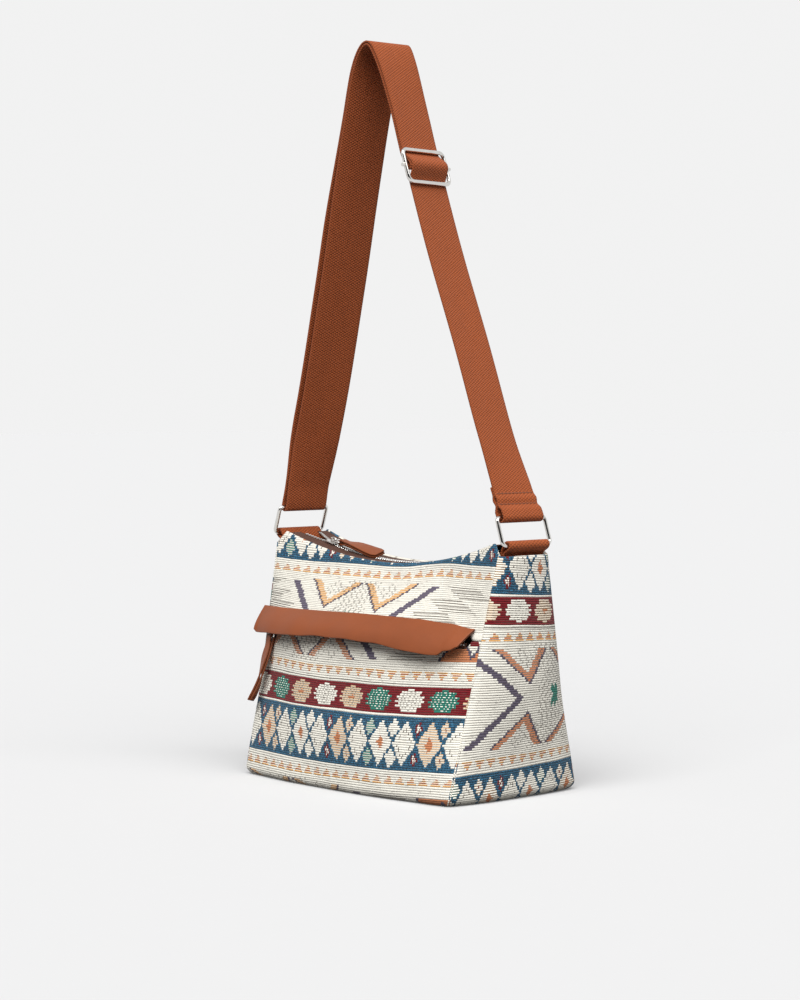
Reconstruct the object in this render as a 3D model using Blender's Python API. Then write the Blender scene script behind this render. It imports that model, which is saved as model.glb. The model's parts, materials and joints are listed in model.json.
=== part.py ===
"""A soft woven crossbody bag with a top zip, a zipped front pocket under a leather placket and a webbing strap.

Metres, +Z up. X runs along the bag, the front faces -Y, and the origin is the middle of the base, on the floor.
Woven panels, webbing and leather are one slab each, extruded from a flat grid and shaped by a place function.
"""
import math

import bmesh
import bpy
from mathutils import Matrix, Vector

# Bag body
BASE_LENGTH = 0.206
TOP_LENGTH = 0.228
BASE_DEPTH = 0.117
TOP_DEPTH = 0.047
GUSSET_HEIGHT = 0.1635
EAR_RISE = 0.0085
EAR_RUN = 0.008
RIM_DIP = 0.0095
RIM_RISE = 0.018
FOOT_RADIUS = 0.012
PANEL = 0.0024
SEAM = 0.0003
FACE_BULGE_BASE = 0.008
FACE_BULGE_MIDDLE = 0.015
FACE_BULGE_RIM = -0.008
FACE_BULGE_START = 0.050
FACE_BULGE_END = 0.108
FACE_POWER = 2.3
GUSSET_BULGE_BASE = 0.005
GUSSET_BULGE_MIDDLE = 0.010
GUSSET_BULGE_TOP = 0.006
GUSSET_POWER = 3.0
LINING = 0.0008
LINING_TOP_DROP = 0.0108
LINING_EASE = 0.0019
LINING_POCKET_EASE = 0.0128
POCKET_DEPTH = 0.011
POCKET_MARGIN = 0.010
POCKET_HEM = 0.002
POCKET_BACK_RISE = 0.0086

# Front pocket
POCKET_ZIP_HEIGHT = 0.108
POCKET_SLIT = 0.0108
PLACKET_TOP = 0.1192
PLACKET_DROP = 0.0178
PLACKET_THICKNESS = 0.0016
PLACKET_STANDOFF = 0.0078
PLACKET_LEFT_OVERHANG = 0.002
PLACKET_RIGHT_INSET = 0.006
PLACKET_END_SLANT = 0.005

# Zips
TAPE = 0.0007
TAPE_DROP = 0.0012
ROW_GAP = 0.0006
ROW_WIDTH = 0.0028
ROW_HEIGHT = 0.0024
TOOTH_DEPTH = 0.0007
TOP_TOOTH_PITCH = 0.005
POCKET_TOOTH_PITCH = 0.0085
TOP_ZIP_INSET = 0.013
TOP_TAPE_END = 0.004
MOUTH_SPREAD = 0.0055
POCKET_ZIP_HALF = 0.0985
SLIDER_LENGTH = 0.0095
SLIDER_WIDTH = 0.0098
SLIDER_PLATE = 0.0009
SLIDER_CLEARANCE = 0.0004
SLIDER_LIP = 0.0007
SLIDER_LIP_DROP = 0.0004
BRIDGE_LENGTH = 0.0060
BRIDGE_HEIGHT = 0.0030
BRIDGE_WIDTH = 0.0024
BRIDGE_WIRE = 0.0009
POCKET_BRIDGE_SHIFT = 0.0016
TOP_ZIP_OPENED = 0.023
POCKET_SLIDER_X = -0.0925
STOP_LENGTH = 0.0028

# Zip pulls
LINK_WIRE = 0.0006
LINK_LENGTH = 0.0085
LINK_HALF_WIDTH = 0.0040
LINK_CORNER = 0.0012
PULL_FIT = 0.0003
TOP_PULL_LENGTH = 0.040
TOP_PULL_WIDTH = 0.011
POCKET_PULL_LENGTH = 0.042
POCKET_PULL_WIDTH = 0.010
PULL_LEATHER = 0.0013
PULL_ROOT_HALF = 0.0029
PULL_SHOULDER = 0.014
PULL_TIP = 0.004
PULL_TIP_SHARE = 0.8
TOP_PULL_LIFT = 5.0
TOP_PULL_TWIST = 20.0
POCKET_PULL_LEAN = 14.0

# Strap hardware and webbing
WEBBING_WIDTH = 0.0376
WEBBING = 0.0015
PLY_GAP = 0.0004
WIRE_FIT = 0.0003
RING_WIRE = 0.0014
RING_SIDE_GAP = 0.0022
RING_CORNER = 0.0031
RING_SEAT_OUT = 0.0025
RING_SEAT_UP = 0.0070
RING_LEAN = 0.0061
RING_RISE = 0.0184
RING_TAPER = 0.018
SWAY_SLACK = 0.0005
LOOP_TAIL = 0.0095
LOOP_STEP = 0.0009
LOOP_SEWN_GAP = 0.0007
LOOP_STATION = 0.002
ADJUSTER_RUN = 0.2545
ADJUSTER_WIRE = 0.0015
ADJUSTER_SIDE_GAP = 0.0014
ADJUSTER_LENGTH = 0.0235
ADJUSTER_CORNER = 0.004
ADJUSTER_BAR = 0.0013
ADJUSTER_NECK = 0.0006
ADJUSTER_NECK_FIT = 0.0003
ADJUSTER_HEAD = 0.0022
SEWN_TAIL = 0.022
ADJUSTER_TAIL = 0.006
ADJUSTER_TAIL_DROP = 0.0022
ADJUSTER_TAPER = 0.028
STRAP_RISE = 0.3246
STRAP_STATION = 0.008

# Waypoints of the standing strap from the left ring over the crest to the right ring:
# shares of the rings' reach in X and of the crest's rise above them in Z
STRAP_WAYPOINTS = (
    (-0.856, 0.173),
    (-0.720, 0.348),
    (-0.600, 0.515),
    (-0.496, 0.678),
    (-0.385, 0.841),
    (-0.299, 0.955),
    (-0.199, 1.000),
    (-0.111, 0.965),
    (0.011, 0.860),
    (0.131, 0.740),
    (0.341, 0.543),
    (0.580, 0.342),
    (0.788, 0.161),
)

EAR_HEIGHT = GUSSET_HEIGHT + EAR_RISE
RIM_MIDDLE_HEIGHT = GUSSET_HEIGHT - RIM_DIP
RIM_HALF_CHORD = TOP_LENGTH / 2 - EAR_RUN
RIM_RADIUS = (RIM_HALF_CHORD ** 2 + RIM_RISE ** 2) / (2 * RIM_RISE)
ZIP_CENTRE_Z = RIM_MIDDLE_HEIGHT + RIM_RADIUS
CHAIN_RADIUS = RIM_RADIUS + TAPE_DROP
TOP_ZIP_HALF = TOP_LENGTH / 2 - TOP_ZIP_INSET
TOP_SLIDER_X = TOP_ZIP_OPENED - TOP_ZIP_HALF
RING_LOWER_X = TOP_LENGTH / 2 + RING_SEAT_OUT
RING_LOWER_Z = GUSSET_HEIGHT + RING_SEAT_UP
RING_UPPER_X = RING_LOWER_X - RING_LEAN
RING_UPPER_Z = RING_LOWER_Z + RING_RISE


def lerp(a, b, t):
    return a + (b - a) * t


def ease(t):
    t = min(max(t, 0.0), 1.0)
    return t * t * (3 - 2 * t)


def clear_scene():
    for obj in list(bpy.data.objects):
        bpy.data.objects.remove(obj, do_unlink=True)


def material(name, colour, roughness, metallic=0.0):
    made = bpy.data.materials.new(name)
    made.use_nodes = True
    shader = made.node_tree.nodes["Principled BSDF"]
    shader.inputs["Base Color"].default_value = (*colour, 1.0)
    shader.inputs["Roughness"].default_value = roughness
    shader.inputs["Metallic"].default_value = metallic
    return made


def object_from(bm, name, finish, smooth_angle=35.0):
    """Turns a bmesh into a named object with its faces outwards and its round sides smooth."""
    bmesh.ops.recalc_face_normals(bm, faces=bm.faces[:])
    if bm.calc_volume(signed=True) < 0:
        bmesh.ops.reverse_faces(bm, faces=bm.faces[:])
    mesh = bpy.data.meshes.new(name)
    bm.to_mesh(mesh)
    bm.free()
    mesh.shade_smooth()
    mesh.set_sharp_from_angle(angle=math.radians(smooth_angle))
    mesh.materials.append(finish)
    obj = bpy.data.objects.new(name, mesh)
    bpy.context.collection.objects.link(obj)
    return obj


def slab(name, place, count_u, count_v, finish):
    """A sheet extruded once and shaped: u runs -1 to 1, v 0 to 1, and w 0 outside to 1 inside."""
    bm = bmesh.new()
    bmesh.ops.create_grid(bm, x_segments=count_u, y_segments=count_v, size=1.0)
    raised = bmesh.ops.extrude_face_region(bm, geom=bm.faces[:])["geom"]
    for vert in [item for item in raised if isinstance(item, bmesh.types.BMVert)]:
        vert.co.z = 1.0
    for vert in bm.verts:
        vert.co = place(vert.co.x, (vert.co.y + 1) / 2, vert.co.z)
    return object_from(bm, name, finish)


# Outer form of the bag, as sizes at a height


def half_length(z):
    return lerp(BASE_LENGTH, TOP_LENGTH, z / GUSSET_HEIGHT) / 2


def half_depth(z):
    return lerp(BASE_DEPTH, TOP_DEPTH, z / GUSSET_HEIGHT) / 2


def face_bulge(z):
    low = lerp(FACE_BULGE_BASE, FACE_BULGE_MIDDLE, ease(z / FACE_BULGE_START))
    fall = ease((z - FACE_BULGE_END) / (RIM_MIDDLE_HEIGHT - FACE_BULGE_END))
    return lerp(low, FACE_BULGE_RIM, fall)


def gusset_bulge(z):
    half = GUSSET_HEIGHT / 2
    if z < half:
        return lerp(GUSSET_BULGE_BASE, GUSSET_BULGE_MIDDLE, ease(z / half))
    return lerp(GUSSET_BULGE_MIDDLE, GUSSET_BULGE_TOP, ease((z - half) / half))


def crown(u, power):
    return 1 - min(abs(u), 1.0) ** power


def face_depth(x, z):
    """How far the outer front face stands from the middle plane, at a place on the bag."""
    return half_depth(z) + face_bulge(z) * crown(x / half_length(z), FACE_POWER)


def rim_height(x):
    """The saddle of the top edge, a round arc that ends in an ear beside each webbing loop."""
    arc = ZIP_CENTRE_Z - math.sqrt(RIM_RADIUS ** 2 - min(abs(x), RIM_HALF_CHORD) ** 2)
    ear = lerp(GUSSET_HEIGHT, EAR_HEIGHT, (TOP_LENGTH / 2 - abs(x)) / EAR_RUN)
    return min(arc, max(ear, GUSSET_HEIGHT))


def foot(angle, offset):
    """Inset and height of a point on the rounded foot, for a wall that lies offset inside the outer face."""
    radius = FOOT_RADIUS - offset
    return offset + radius * (1 - math.sin(angle)), offset + radius * (1 - math.cos(angle))


def wall_point(v, w, foot_share, top):
    """Inset and height on a wall that rises from its rounded foot to the height top."""
    offset = w * PANEL
    if v < foot_share:
        return foot(v / foot_share * math.pi / 2, offset)
    return offset, lerp(FOOT_RADIUS, top, (v - foot_share) / (1 - foot_share))


def face_place(side, inset, u, z):
    x = u * (half_length(z) - inset - SEAM / math.sqrt(2))
    y = half_depth(z) - inset + face_bulge(z) * crown(u, FACE_POWER)
    return Vector((x, side * y, z))


def rim_at(u):
    return rim_height(u * TOP_LENGTH / 2)


# Woven panels and lining


def front_upper_panel(finish):
    bottom = POCKET_ZIP_HEIGHT + POCKET_SLIT / 2

    def place(u, v, w):
        return face_place(-1, w * PANEL, u, lerp(bottom, rim_at(u), v))

    return slab("front_upper_panel", place, 24, 6, finish)


def pocket_panel(finish):
    top = POCKET_ZIP_HEIGHT - POCKET_SLIT / 2

    def place(u, v, w):
        inset, z = wall_point(v, w, 0.3, top)
        return face_place(-1, inset, u, z)

    return slab("pocket_panel", place, 20, 10, finish)


def back_panel(finish):
    def place(u, v, w):
        inset, z = wall_point(v, w, 0.25, rim_at(u))
        return face_place(1, inset, u, z)

    return slab("back_panel", place, 24, 12, finish)


def gusset(name, side, finish):
    def place(u, v, w):
        inset, z = wall_point(v, w, 0.25, GUSSET_HEIGHT)
        x = half_length(z) - inset + gusset_bulge(z) * crown(u, GUSSET_POWER)
        return Vector((side * x, u * (half_depth(z) - inset - SEAM / math.sqrt(2)), z))

    return slab(name, place, 12, 12, finish)


def base_panel(finish):
    """The flat underside. Its edge follows the feet of the four walls."""
    def place(u, v, w):
        q = 2 * v - 1
        z = w * PANEL
        reach_x = half_length(z) - FOOT_RADIUS - SEAM
        reach_y = half_depth(z) - FOOT_RADIUS - SEAM
        x = u * (reach_x + gusset_bulge(z) * crown(q, GUSSET_POWER))
        y = q * (reach_y + face_bulge(z) * crown(u, FACE_POWER))
        return Vector((x, y, z))

    return slab("base_panel", place, 22, 6, finish)


def pocket_offset(z):
    """How far the pocket's cloth back hangs inside the outer face: flat on the panel above the slit."""
    closing_top = ease((POCKET_ZIP_HEIGHT + POCKET_SLIT / 2 - z) / POCKET_SLIT)
    closing_low = ease((z - FOOT_RADIUS) / FOOT_RADIUS)
    return PANEL + 3 * SEAM + POCKET_DEPTH * min(closing_top, closing_low)


def lining_offset(z):
    """How far the lining's front hangs inside the outer face: deeper where the pocket takes up room."""
    over_pocket = ease((POCKET_ZIP_HEIGHT + 2 * POCKET_SLIT - z) / (2 * POCKET_SLIT))
    return PANEL + LINING_EASE + LINING_POCKET_EASE * over_pocket


def pocket_back(finish):
    low = FOOT_RADIUS + POCKET_HEM
    high = POCKET_ZIP_HEIGHT + POCKET_BACK_RISE

    def place(u, v, w):
        z = lerp(low, high, v)
        x = u * (half_length(z) - POCKET_MARGIN)
        inset = pocket_offset(z) + w * LINING
        return Vector((x, inset - face_depth(x, z), z))

    return slab("pocket_back", place, 14, 8, finish)


def lining(finish):
    """The inner bag: a box opened at the top and drawn over the inside of the walls, then thickened."""
    bm = bmesh.new()
    bmesh.ops.create_cube(bm, size=2.0)
    cut_across(bm, "x", [-0.8, -0.6, -0.4, -0.2, 0.0, 0.2, 0.4, 0.6, 0.8])
    cut_across(bm, "y", [-0.67, -0.33, 0.0, 0.33, 0.67])
    cut_across(bm, "z", [-0.75, -0.4, 0.0, 0.2, 0.36, 0.48, 0.6, 0.72, 0.84])
    lid = [face for face in bm.faces if face.calc_center_median().z > 0.999]
    bmesh.ops.delete(bm, geom=lid, context="FACES")
    floor = PANEL + LINING_EASE
    for vert in bm.verts:
        u, q, v = vert.co.x, vert.co.y, (vert.co.z + 1) / 2
        z = lerp(floor, rim_at(u) - LINING_TOP_DROP, v)
        side_inset = PANEL + LINING_EASE + FOOT_RADIUS * (1 - ease(v * 6)) / 2
        front_inset = max(side_inset, lining_offset(z)) if q < 0 else side_inset
        x = u * (half_length(z) - side_inset)
        y = q * (half_depth(z) - front_inset)
        x += gusset_bulge(z) * crown(q, GUSSET_POWER) * math.copysign(u ** 8, u)
        y += face_bulge(z) * crown(u, FACE_POWER) * math.copysign(q ** 8, q)
        vert.co = Vector((x, y, z))
    obj = object_from(bm, "lining", finish)
    wall = obj.modifiers.new("wall", "SOLIDIFY")
    wall.thickness = LINING
    wall.offset = -1.0
    return obj


def cut_across(bm, axis, places):
    """Cuts the whole mesh by planes square to one axis."""
    normal = Vector([1.0 if name == axis else 0.0 for name in "xyz"])
    for place in places:
        everything = bm.verts[:] + bm.edges[:] + bm.faces[:]
        bmesh.ops.bisect_plane(bm, geom=everything, plane_co=normal * place, plane_no=normal)


def placket(finish):
    """A leather flap sewn along its top edge over the pocket zip. Its lower edge stands away from the face."""
    left = -half_length(PLACKET_TOP) - PLACKET_LEFT_OVERHANG
    right = half_length(PLACKET_TOP) - PLACKET_RIGHT_INSET

    def place(u, v, w):
        z = PLACKET_TOP - PLACKET_DROP * v
        x = lerp(left, right - PLACKET_END_SLANT * v, (u + 1) / 2)
        stand = SEAM + (PLACKET_STANDOFF - SEAM) * math.sin(v * math.pi / 2)
        y = face_depth(x, z) + stand + (1 - w) * PLACKET_THICKNESS
        return Vector((x, -y, z))

    return slab("placket", place, 24, 4, finish)


# Zips: straight helpers in a frame whose first axis runs along the chain


def arc_frame(angle):
    """Frame of the top chain at an angle from its lowest point: along the chain, across, and up."""
    along = Vector((math.cos(angle), 0, math.sin(angle)))
    up = Vector((-math.sin(angle), 0, math.cos(angle)))
    centre = Vector((0, 0, ZIP_CENTRE_Z)) - up * CHAIN_RADIUS
    return centre, along, Vector((0, 1, 0)), up


def chain_angle(x):
    return math.asin(x / CHAIN_RADIUS)


def mouth_offset(x):
    """How far a row of teeth stands from the closed line, on the open stretch behind the slider."""
    start = TOP_SLIDER_X - SLIDER_LENGTH / 2
    end = -TOP_ZIP_HALF
    return MOUTH_SPREAD * max(0.0, (x - start) / (end - start))


def tape_outer(x, z):
    return face_depth(x, z) - PANEL - SEAM


def top_tape(name, side, finish):
    end = TOP_ZIP_HALF + TOP_TAPE_END

    def place(u, v, w):
        x = u * end
        centre, _, _, up = arc_frame(chain_angle(x))
        inner = ROW_GAP + ROW_WIDTH + SEAM + mouth_offset(x)
        across = lerp(inner, tape_outer(x, centre.z), v)
        return centre + Vector((0, side * across, 0)) + up * (0.5 - w) * TAPE

    return slab(name, place, 24, 1, finish)


def tooth_edge(index):
    return TOOTH_DEPTH if index % 2 else 0.0


def top_row(name, side, finish):
    """One row of metal teeth on its tape edge, cut as a comb along the arc."""
    count = 2 * round(TOP_ZIP_HALF * 2 / TOP_TOOTH_PITCH)

    def place(u, v, w):
        x = u * TOP_ZIP_HALF
        centre, _, _, up = arc_frame(chain_angle(x))
        index = round((u + 1) / 2 * count)
        near = ROW_GAP + mouth_offset(x)
        across = near + tooth_edge(index) if v < 0.5 else near + ROW_WIDTH
        return centre + Vector((0, side * across, 0)) + up * (0.5 - w) * ROW_HEIGHT

    return slab(name, place, count, 1, finish)


def box_between(bm, low, high):
    made = bmesh.ops.create_cube(bm, size=1.0)["verts"]
    low, high = Vector(low), Vector(high)
    size = high - low
    bmesh.ops.scale(bm, vec=size, verts=made)
    bmesh.ops.translate(bm, vec=(low + high) / 2, verts=made)
    return made


def outline_bar(bm, outline, length):
    """Extrudes a closed outline in Y and Z along X, centred."""
    verts = [bm.verts.new((-length / 2, y, z)) for y, z in outline]
    face = bm.faces.new(verts)
    raised = bmesh.ops.extrude_face_region(bm, geom=[face])["geom"]
    moved = [item for item in raised if isinstance(item, bmesh.types.BMVert)]
    bmesh.ops.translate(bm, vec=(length, 0, 0), verts=moved)


def slider_outline():
    """Two plates joined by the thin blade that parts the rows, with a lip along each side."""
    half = SLIDER_WIDTH / 2
    inner = ROW_HEIGHT / 2 + SLIDER_CLEARANCE
    outer = inner + SLIDER_PLATE
    blade = ROW_GAP - WIRE_FIT
    lip = half - SLIDER_LIP
    reach = inner - SLIDER_LIP_DROP
    quarter = [(blade, 0.0), (blade, inner), (lip, inner), (lip, reach), (half, reach), (half, outer)]
    right = quarter + [(y, -z) for y, z in reversed(quarter)]
    right = right[1:-1]
    left = [(-y, -z) for y, z in right]
    top_to_bottom = sorted_side(right)
    return top_to_bottom + sorted_side(left)


def sorted_side(side):
    """The outline of one half, from its outer corner on one plate round the slot to the other plate."""
    plate = side[:5]
    other = side[5:]
    return list(reversed(plate)) + list(reversed(other))


def bridge_outline():
    """The staple over the upper plate that holds the link, as an outline in X and Z."""
    base = ROW_HEIGHT / 2 + SLIDER_CLEARANCE + SLIDER_PLATE / 2
    top = ROW_HEIGHT / 2 + SLIDER_CLEARANCE + SLIDER_PLATE + BRIDGE_HEIGHT
    half = BRIDGE_LENGTH / 2
    chamfer = BRIDGE_WIRE
    outer = [(-half, base), (-half, top - chamfer), (-half + chamfer, top), (half - chamfer, top)]
    outer += [(half, top - chamfer), (half, base)]
    inner_half = half - BRIDGE_WIRE
    inner_top = top - BRIDGE_WIRE
    inner = [(inner_half, base), (inner_half, inner_top), (-inner_half, inner_top), (-inner_half, base)]
    return outer + inner


def slider_mesh(name, finish, bridge_turn=0.0, bridge_shift=0.0):
    """The slider at its own origin, with its chain along X and its upper plate on +Z."""
    body = bmesh.new()
    outline_bar(body, slider_outline(), SLIDER_LENGTH)
    obj = object_from(body, name, finish)
    staple = bmesh.new()
    verts = [staple.verts.new((x, -BRIDGE_WIDTH / 2, z)) for x, z in bridge_outline()]
    face = staple.faces.new(verts)
    raised = bmesh.ops.extrude_face_region(staple, geom=[face])["geom"]
    moved = [item for item in raised if isinstance(item, bmesh.types.BMVert)]
    bmesh.ops.translate(staple, vec=(0, BRIDGE_WIDTH, 0), verts=moved)
    turned = Matrix.Rotation(math.radians(bridge_turn), 3, "Z")
    bmesh.ops.rotate(staple, cent=(0, 0, 0), matrix=turned, verts=staple.verts[:])
    bmesh.ops.translate(staple, vec=turned @ Vector((bridge_shift, 0, 0)), verts=staple.verts[:])
    tool = object_from(staple, name + "_staple_tool", finish)
    tool.hide_render = True
    tool.display_type = "WIRE"
    joined = obj.modifiers.new("bridge", "BOOLEAN")
    joined.operation = "UNION"
    joined.solver = "EXACT"
    joined.object = tool
    return obj, tool


def frame_matrix(centre, along, across, up):
    turned = Matrix((along, across, up)).transposed().to_4x4()
    return Matrix.Translation(centre) @ turned


def bridge_eye():
    """Height of the link's bar under the bridge, above the chain."""
    plate = ROW_HEIGHT / 2 + SLIDER_CLEARANCE + SLIDER_PLATE
    return plate + BRIDGE_HEIGHT - BRIDGE_WIRE - PULL_FIT - LINK_WIRE


def bridge_slot_end():
    return BRIDGE_LENGTH / 2 - BRIDGE_WIRE - LINK_WIRE - PULL_FIT


def rounded_loop(half_a, half_b, radius, steps=4):
    """A rectangle with round corners, as points in two coordinates."""
    points = []
    corners = ((1, 1, 0), (-1, 1, 90), (-1, -1, 180), (1, -1, 270))
    for sign_a, sign_b, start in corners:
        for step in range(steps + 1):
            angle = math.radians(start + 90 * step / steps)
            a = sign_a * (half_a - radius) + radius * math.cos(angle)
            b = sign_b * (half_b - radius) + radius * math.sin(angle)
            points.append((a, b))
    return points


def wire_loop(name, points, radius, finish, sides=2):
    """A closed round wire through the points."""
    curve = bpy.data.curves.new(name, "CURVE")
    curve.dimensions = "3D"
    curve.bevel_depth = radius
    curve.bevel_resolution = sides
    spline = curve.splines.new("POLY")
    spline.points.add(len(points) - 1)
    for point, place in zip(spline.points, points):
        point.co = (*place, 1.0)
    spline.use_cyclic_u = True
    curve.materials.append(finish)
    obj = bpy.data.objects.new(name, curve)
    bpy.context.collection.objects.link(obj)
    return obj


def as_mesh(wire):
    """Swaps a wire's curve for its mesh, so that a cut can be made in it."""
    name = wire.name
    mesh = bpy.data.meshes.new_from_object(wire)
    bpy.data.objects.remove(wire, do_unlink=True)
    made = bpy.data.objects.new(name, mesh)
    bpy.context.collection.objects.link(made)
    return made


def link_mesh(name, finish):
    """A wire link along X whose first bar is at its own origin."""
    half = LINK_LENGTH / 2
    points = rounded_loop(half, LINK_HALF_WIDTH, LINK_CORNER, 3)
    return wire_loop(name, [(half + a, b, 0) for a, b in points], LINK_WIRE, finish, 2)


def pull_mesh(name, length, width, finish, twist=0.0):
    """A strip of leather folded round the link's far bar, which is at its own origin."""
    bend = LINK_WIRE + PULL_FIT + PULL_LEATHER / 2
    ply = (PULL_LEATHER + PLY_GAP) / 2
    close = 3 * bend
    route = [Vector((lerp(length, close, i / 6), ply)) for i in range(7)]
    route += [Vector((close / 2, lerp(ply, bend, 0.7)))]
    route += [Vector((bend * math.cos(a), bend * math.sin(a))) for a in turn_angles(90, 270, 8)]
    route += [Vector((close / 2, -lerp(ply, bend, 0.7)))]
    route += [Vector((lerp(close, length, i / 6), -ply)) for i in range(7)]

    def half_width(point):
        share = ease((point.x - close / 2) / PULL_SHOULDER)
        tip = ease((length - point.x) / PULL_TIP)
        return lerp(PULL_ROOT_HALF, width / 2, share) * lerp(PULL_TIP_SHARE, 1.0, tip)

    def twisted(place):
        turn = math.radians(twist) * ease(place.x / length)
        return Matrix.Rotation(turn, 3, "X") @ place

    return ribbon(name, route, half_width, PULL_LEATHER, finish, twisted)


def turn_angles(start, stop, steps):
    return [math.radians(lerp(start, stop, i / steps)) for i in range(steps + 1)]


def route_normals(route):
    """Unit normals to the left of each point's travel, in the plane of the route."""
    normals = []
    for i, point in enumerate(route):
        before = route[max(i - 1, 0)]
        after = route[min(i + 1, len(route) - 1)]
        along = (after - before).normalized()
        normals.append(Vector((-along.y, along.x)))
    return normals


def unshaped(place):
    return place


def ribbon(name, route, half_width, thickness, finish, shape=unshaped):
    """A flat strip: its centre line is a route in X and Z, and its width lies along Y."""
    normals = route_normals(route)
    last = len(route) - 1

    def place(u, v, w):
        index = round((u + 1) / 2 * last)
        point = route[index] + normals[index] * (w - 0.5) * thickness
        half = half_width(route[index])
        return shape(Vector((point.x, lerp(-half, half, v), point.y)))

    return slab(name, place, last, 1, finish)


def top_zip(looks):
    """Tapes, rows, end stop, slider, link and pull of the main zip. The slider turns about the arc's centre."""
    top_tape("top_zip_tape_front", -1, looks["tape"])
    top_tape("top_zip_tape_back", 1, looks["tape"])
    top_row("top_zip_teeth_front", -1, looks["metal"])
    top_row("top_zip_teeth_back", 1, looks["metal"])
    stop = bmesh.new()
    gap = SEAM
    half = ROW_GAP + ROW_WIDTH
    box_between(stop, (gap, -half, -ROW_HEIGHT / 2), (gap + STOP_LENGTH, half, ROW_HEIGHT / 2))
    end_stop = object_from(stop, "top_zip_end_stop", looks["metal"])
    end_stop.matrix_world = frame_matrix(*arc_frame(chain_angle(TOP_ZIP_HALF)))
    centre, along, across, up = arc_frame(chain_angle(TOP_SLIDER_X))
    pivot = empty_at("top_zip_pivot", Vector((0, 0, ZIP_CENTRE_Z)))
    slider, tool = slider_mesh("top_zip_slider", looks["metal"])
    for obj in (slider, tool):
        keep_place(obj, pivot, frame_matrix(centre, along, across, up))
    hinge = centre + up * bridge_eye() + along * bridge_slot_end()
    turn = Matrix.Rotation(math.radians(TOP_PULL_LIFT), 3, -across)
    link_along = turn @ along
    link_up = turn @ up
    link = link_mesh("top_zip_link", looks["metal"])
    link.matrix_world = frame_matrix(hinge, link_along, across, link_up)
    far_bar = hinge + link_along * LINK_LENGTH
    pull = pull_mesh("top_zip_pull", TOP_PULL_LENGTH, TOP_PULL_WIDTH, looks["leather"], TOP_PULL_TWIST)
    pull.matrix_world = frame_matrix(far_bar, link_along, across, link_up)


def keep_place(obj, parent, world):
    """Parents an object and leaves it at its place in the world."""
    obj.parent = parent
    obj.matrix_parent_inverse = parent.matrix_world.inverted()
    obj.matrix_basis = world


def empty_at(name, place):
    made = bpy.data.objects.new(name, None)
    bpy.context.collection.objects.link(made)
    made.matrix_world = Matrix.Translation(place)
    return made


def pocket_chain():
    """Radius and centre depth of the round line that the pocket's chain follows, seen from above."""
    z = POCKET_ZIP_HEIGHT
    middle = face_depth(0.0, z) - PANEL / 2
    end = face_depth(POCKET_ZIP_HALF, z) - PANEL / 2
    fall = middle - end
    radius = (POCKET_ZIP_HALF ** 2 + fall ** 2) / (2 * fall)
    return radius, radius - middle


def pocket_frame(x):
    """Frame of the pocket chain: along it, up the sloping face, and out of the face."""
    radius, centre_y = pocket_chain()
    angle = math.asin(x / radius)
    out_flat = Vector((math.sin(angle), -math.cos(angle), 0))
    along = Vector((math.cos(angle), math.sin(angle), 0))
    slope = math.atan2((BASE_DEPTH - TOP_DEPTH) / 2, GUSSET_HEIGHT)
    up = Vector((0, 0, math.cos(slope))) - out_flat * math.sin(slope)
    out = out_flat * math.cos(slope) + Vector((0, 0, math.sin(slope)))
    centre = Vector((0, centre_y, POCKET_ZIP_HEIGHT)) + out_flat * radius
    return centre, along, up, out


def pocket_tape(name, side, finish):
    edge = POCKET_ZIP_HEIGHT + side * (POCKET_SLIT / 2 - SEAM)

    def place(u, v, w):
        x = u * POCKET_ZIP_HALF
        centre, _, up, out = pocket_frame(x)
        near = centre + up * side * (ROW_GAP + ROW_WIDTH + SEAM)
        far = Vector((x, -(face_depth(x, edge) - PANEL / 2), edge))
        return near.lerp(far, v) + out * (0.5 - w) * TAPE

    return slab(name, place, 20, 1, finish)


def pocket_row(name, side, finish):
    count = 2 * round(POCKET_ZIP_HALF * 2 / POCKET_TOOTH_PITCH)

    def place(u, v, w):
        centre, _, up, out = pocket_frame(u * POCKET_ZIP_HALF)
        index = round((u + 1) / 2 * count)
        across = ROW_GAP + tooth_edge(index) if v < 0.5 else ROW_GAP + ROW_WIDTH
        return centre + up * side * across + out * (0.5 - w) * ROW_HEIGHT

    return slab(name, place, count, 1, finish)


def pocket_zip(looks):
    """The zip behind the placket. Its slider turns about the upright axis of the chain's round line."""
    pocket_tape("pocket_zip_tape_upper", 1, looks["tape"])
    pocket_tape("pocket_zip_tape_lower", -1, looks["tape"])
    pocket_row("pocket_zip_teeth_upper", 1, looks["metal"])
    pocket_row("pocket_zip_teeth_lower", -1, looks["metal"])
    centre, along, up, out = pocket_frame(POCKET_SLIDER_X)
    pivot = empty_at("pocket_zip_pivot", Vector((0, pocket_chain()[1], POCKET_ZIP_HEIGHT)))
    slider, tool = slider_mesh("pocket_zip_slider", looks["metal"], 90.0, POCKET_BRIDGE_SHIFT)
    for obj in (slider, tool):
        keep_place(obj, pivot, frame_matrix(centre, -along, -up, out))
    hinge = centre + out * bridge_eye() - up * (POCKET_BRIDGE_SHIFT + bridge_slot_end())
    lean = math.radians(POCKET_PULL_LEAN)
    out_flat = (out - Vector((0, 0, out.z))).normalized()
    down = (out_flat * math.sin(lean) - Vector((0, 0, math.cos(lean)))).normalized()
    face_out = along.cross(down).normalized()
    if face_out.dot(out_flat) < 0:
        face_out = -face_out
    side = face_out.cross(down).normalized()
    link = link_mesh("pocket_zip_link", looks["metal"])
    link.matrix_world = frame_matrix(hinge, down, side, face_out)
    far_bar = hinge + down * LINK_LENGTH
    pull = pull_mesh("pocket_zip_pull", POCKET_PULL_LENGTH, POCKET_PULL_WIDTH, looks["leather"])
    pull.matrix_world = frame_matrix(far_bar, down, side, face_out)


# Rings, webbing loops, strap and adjuster


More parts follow.
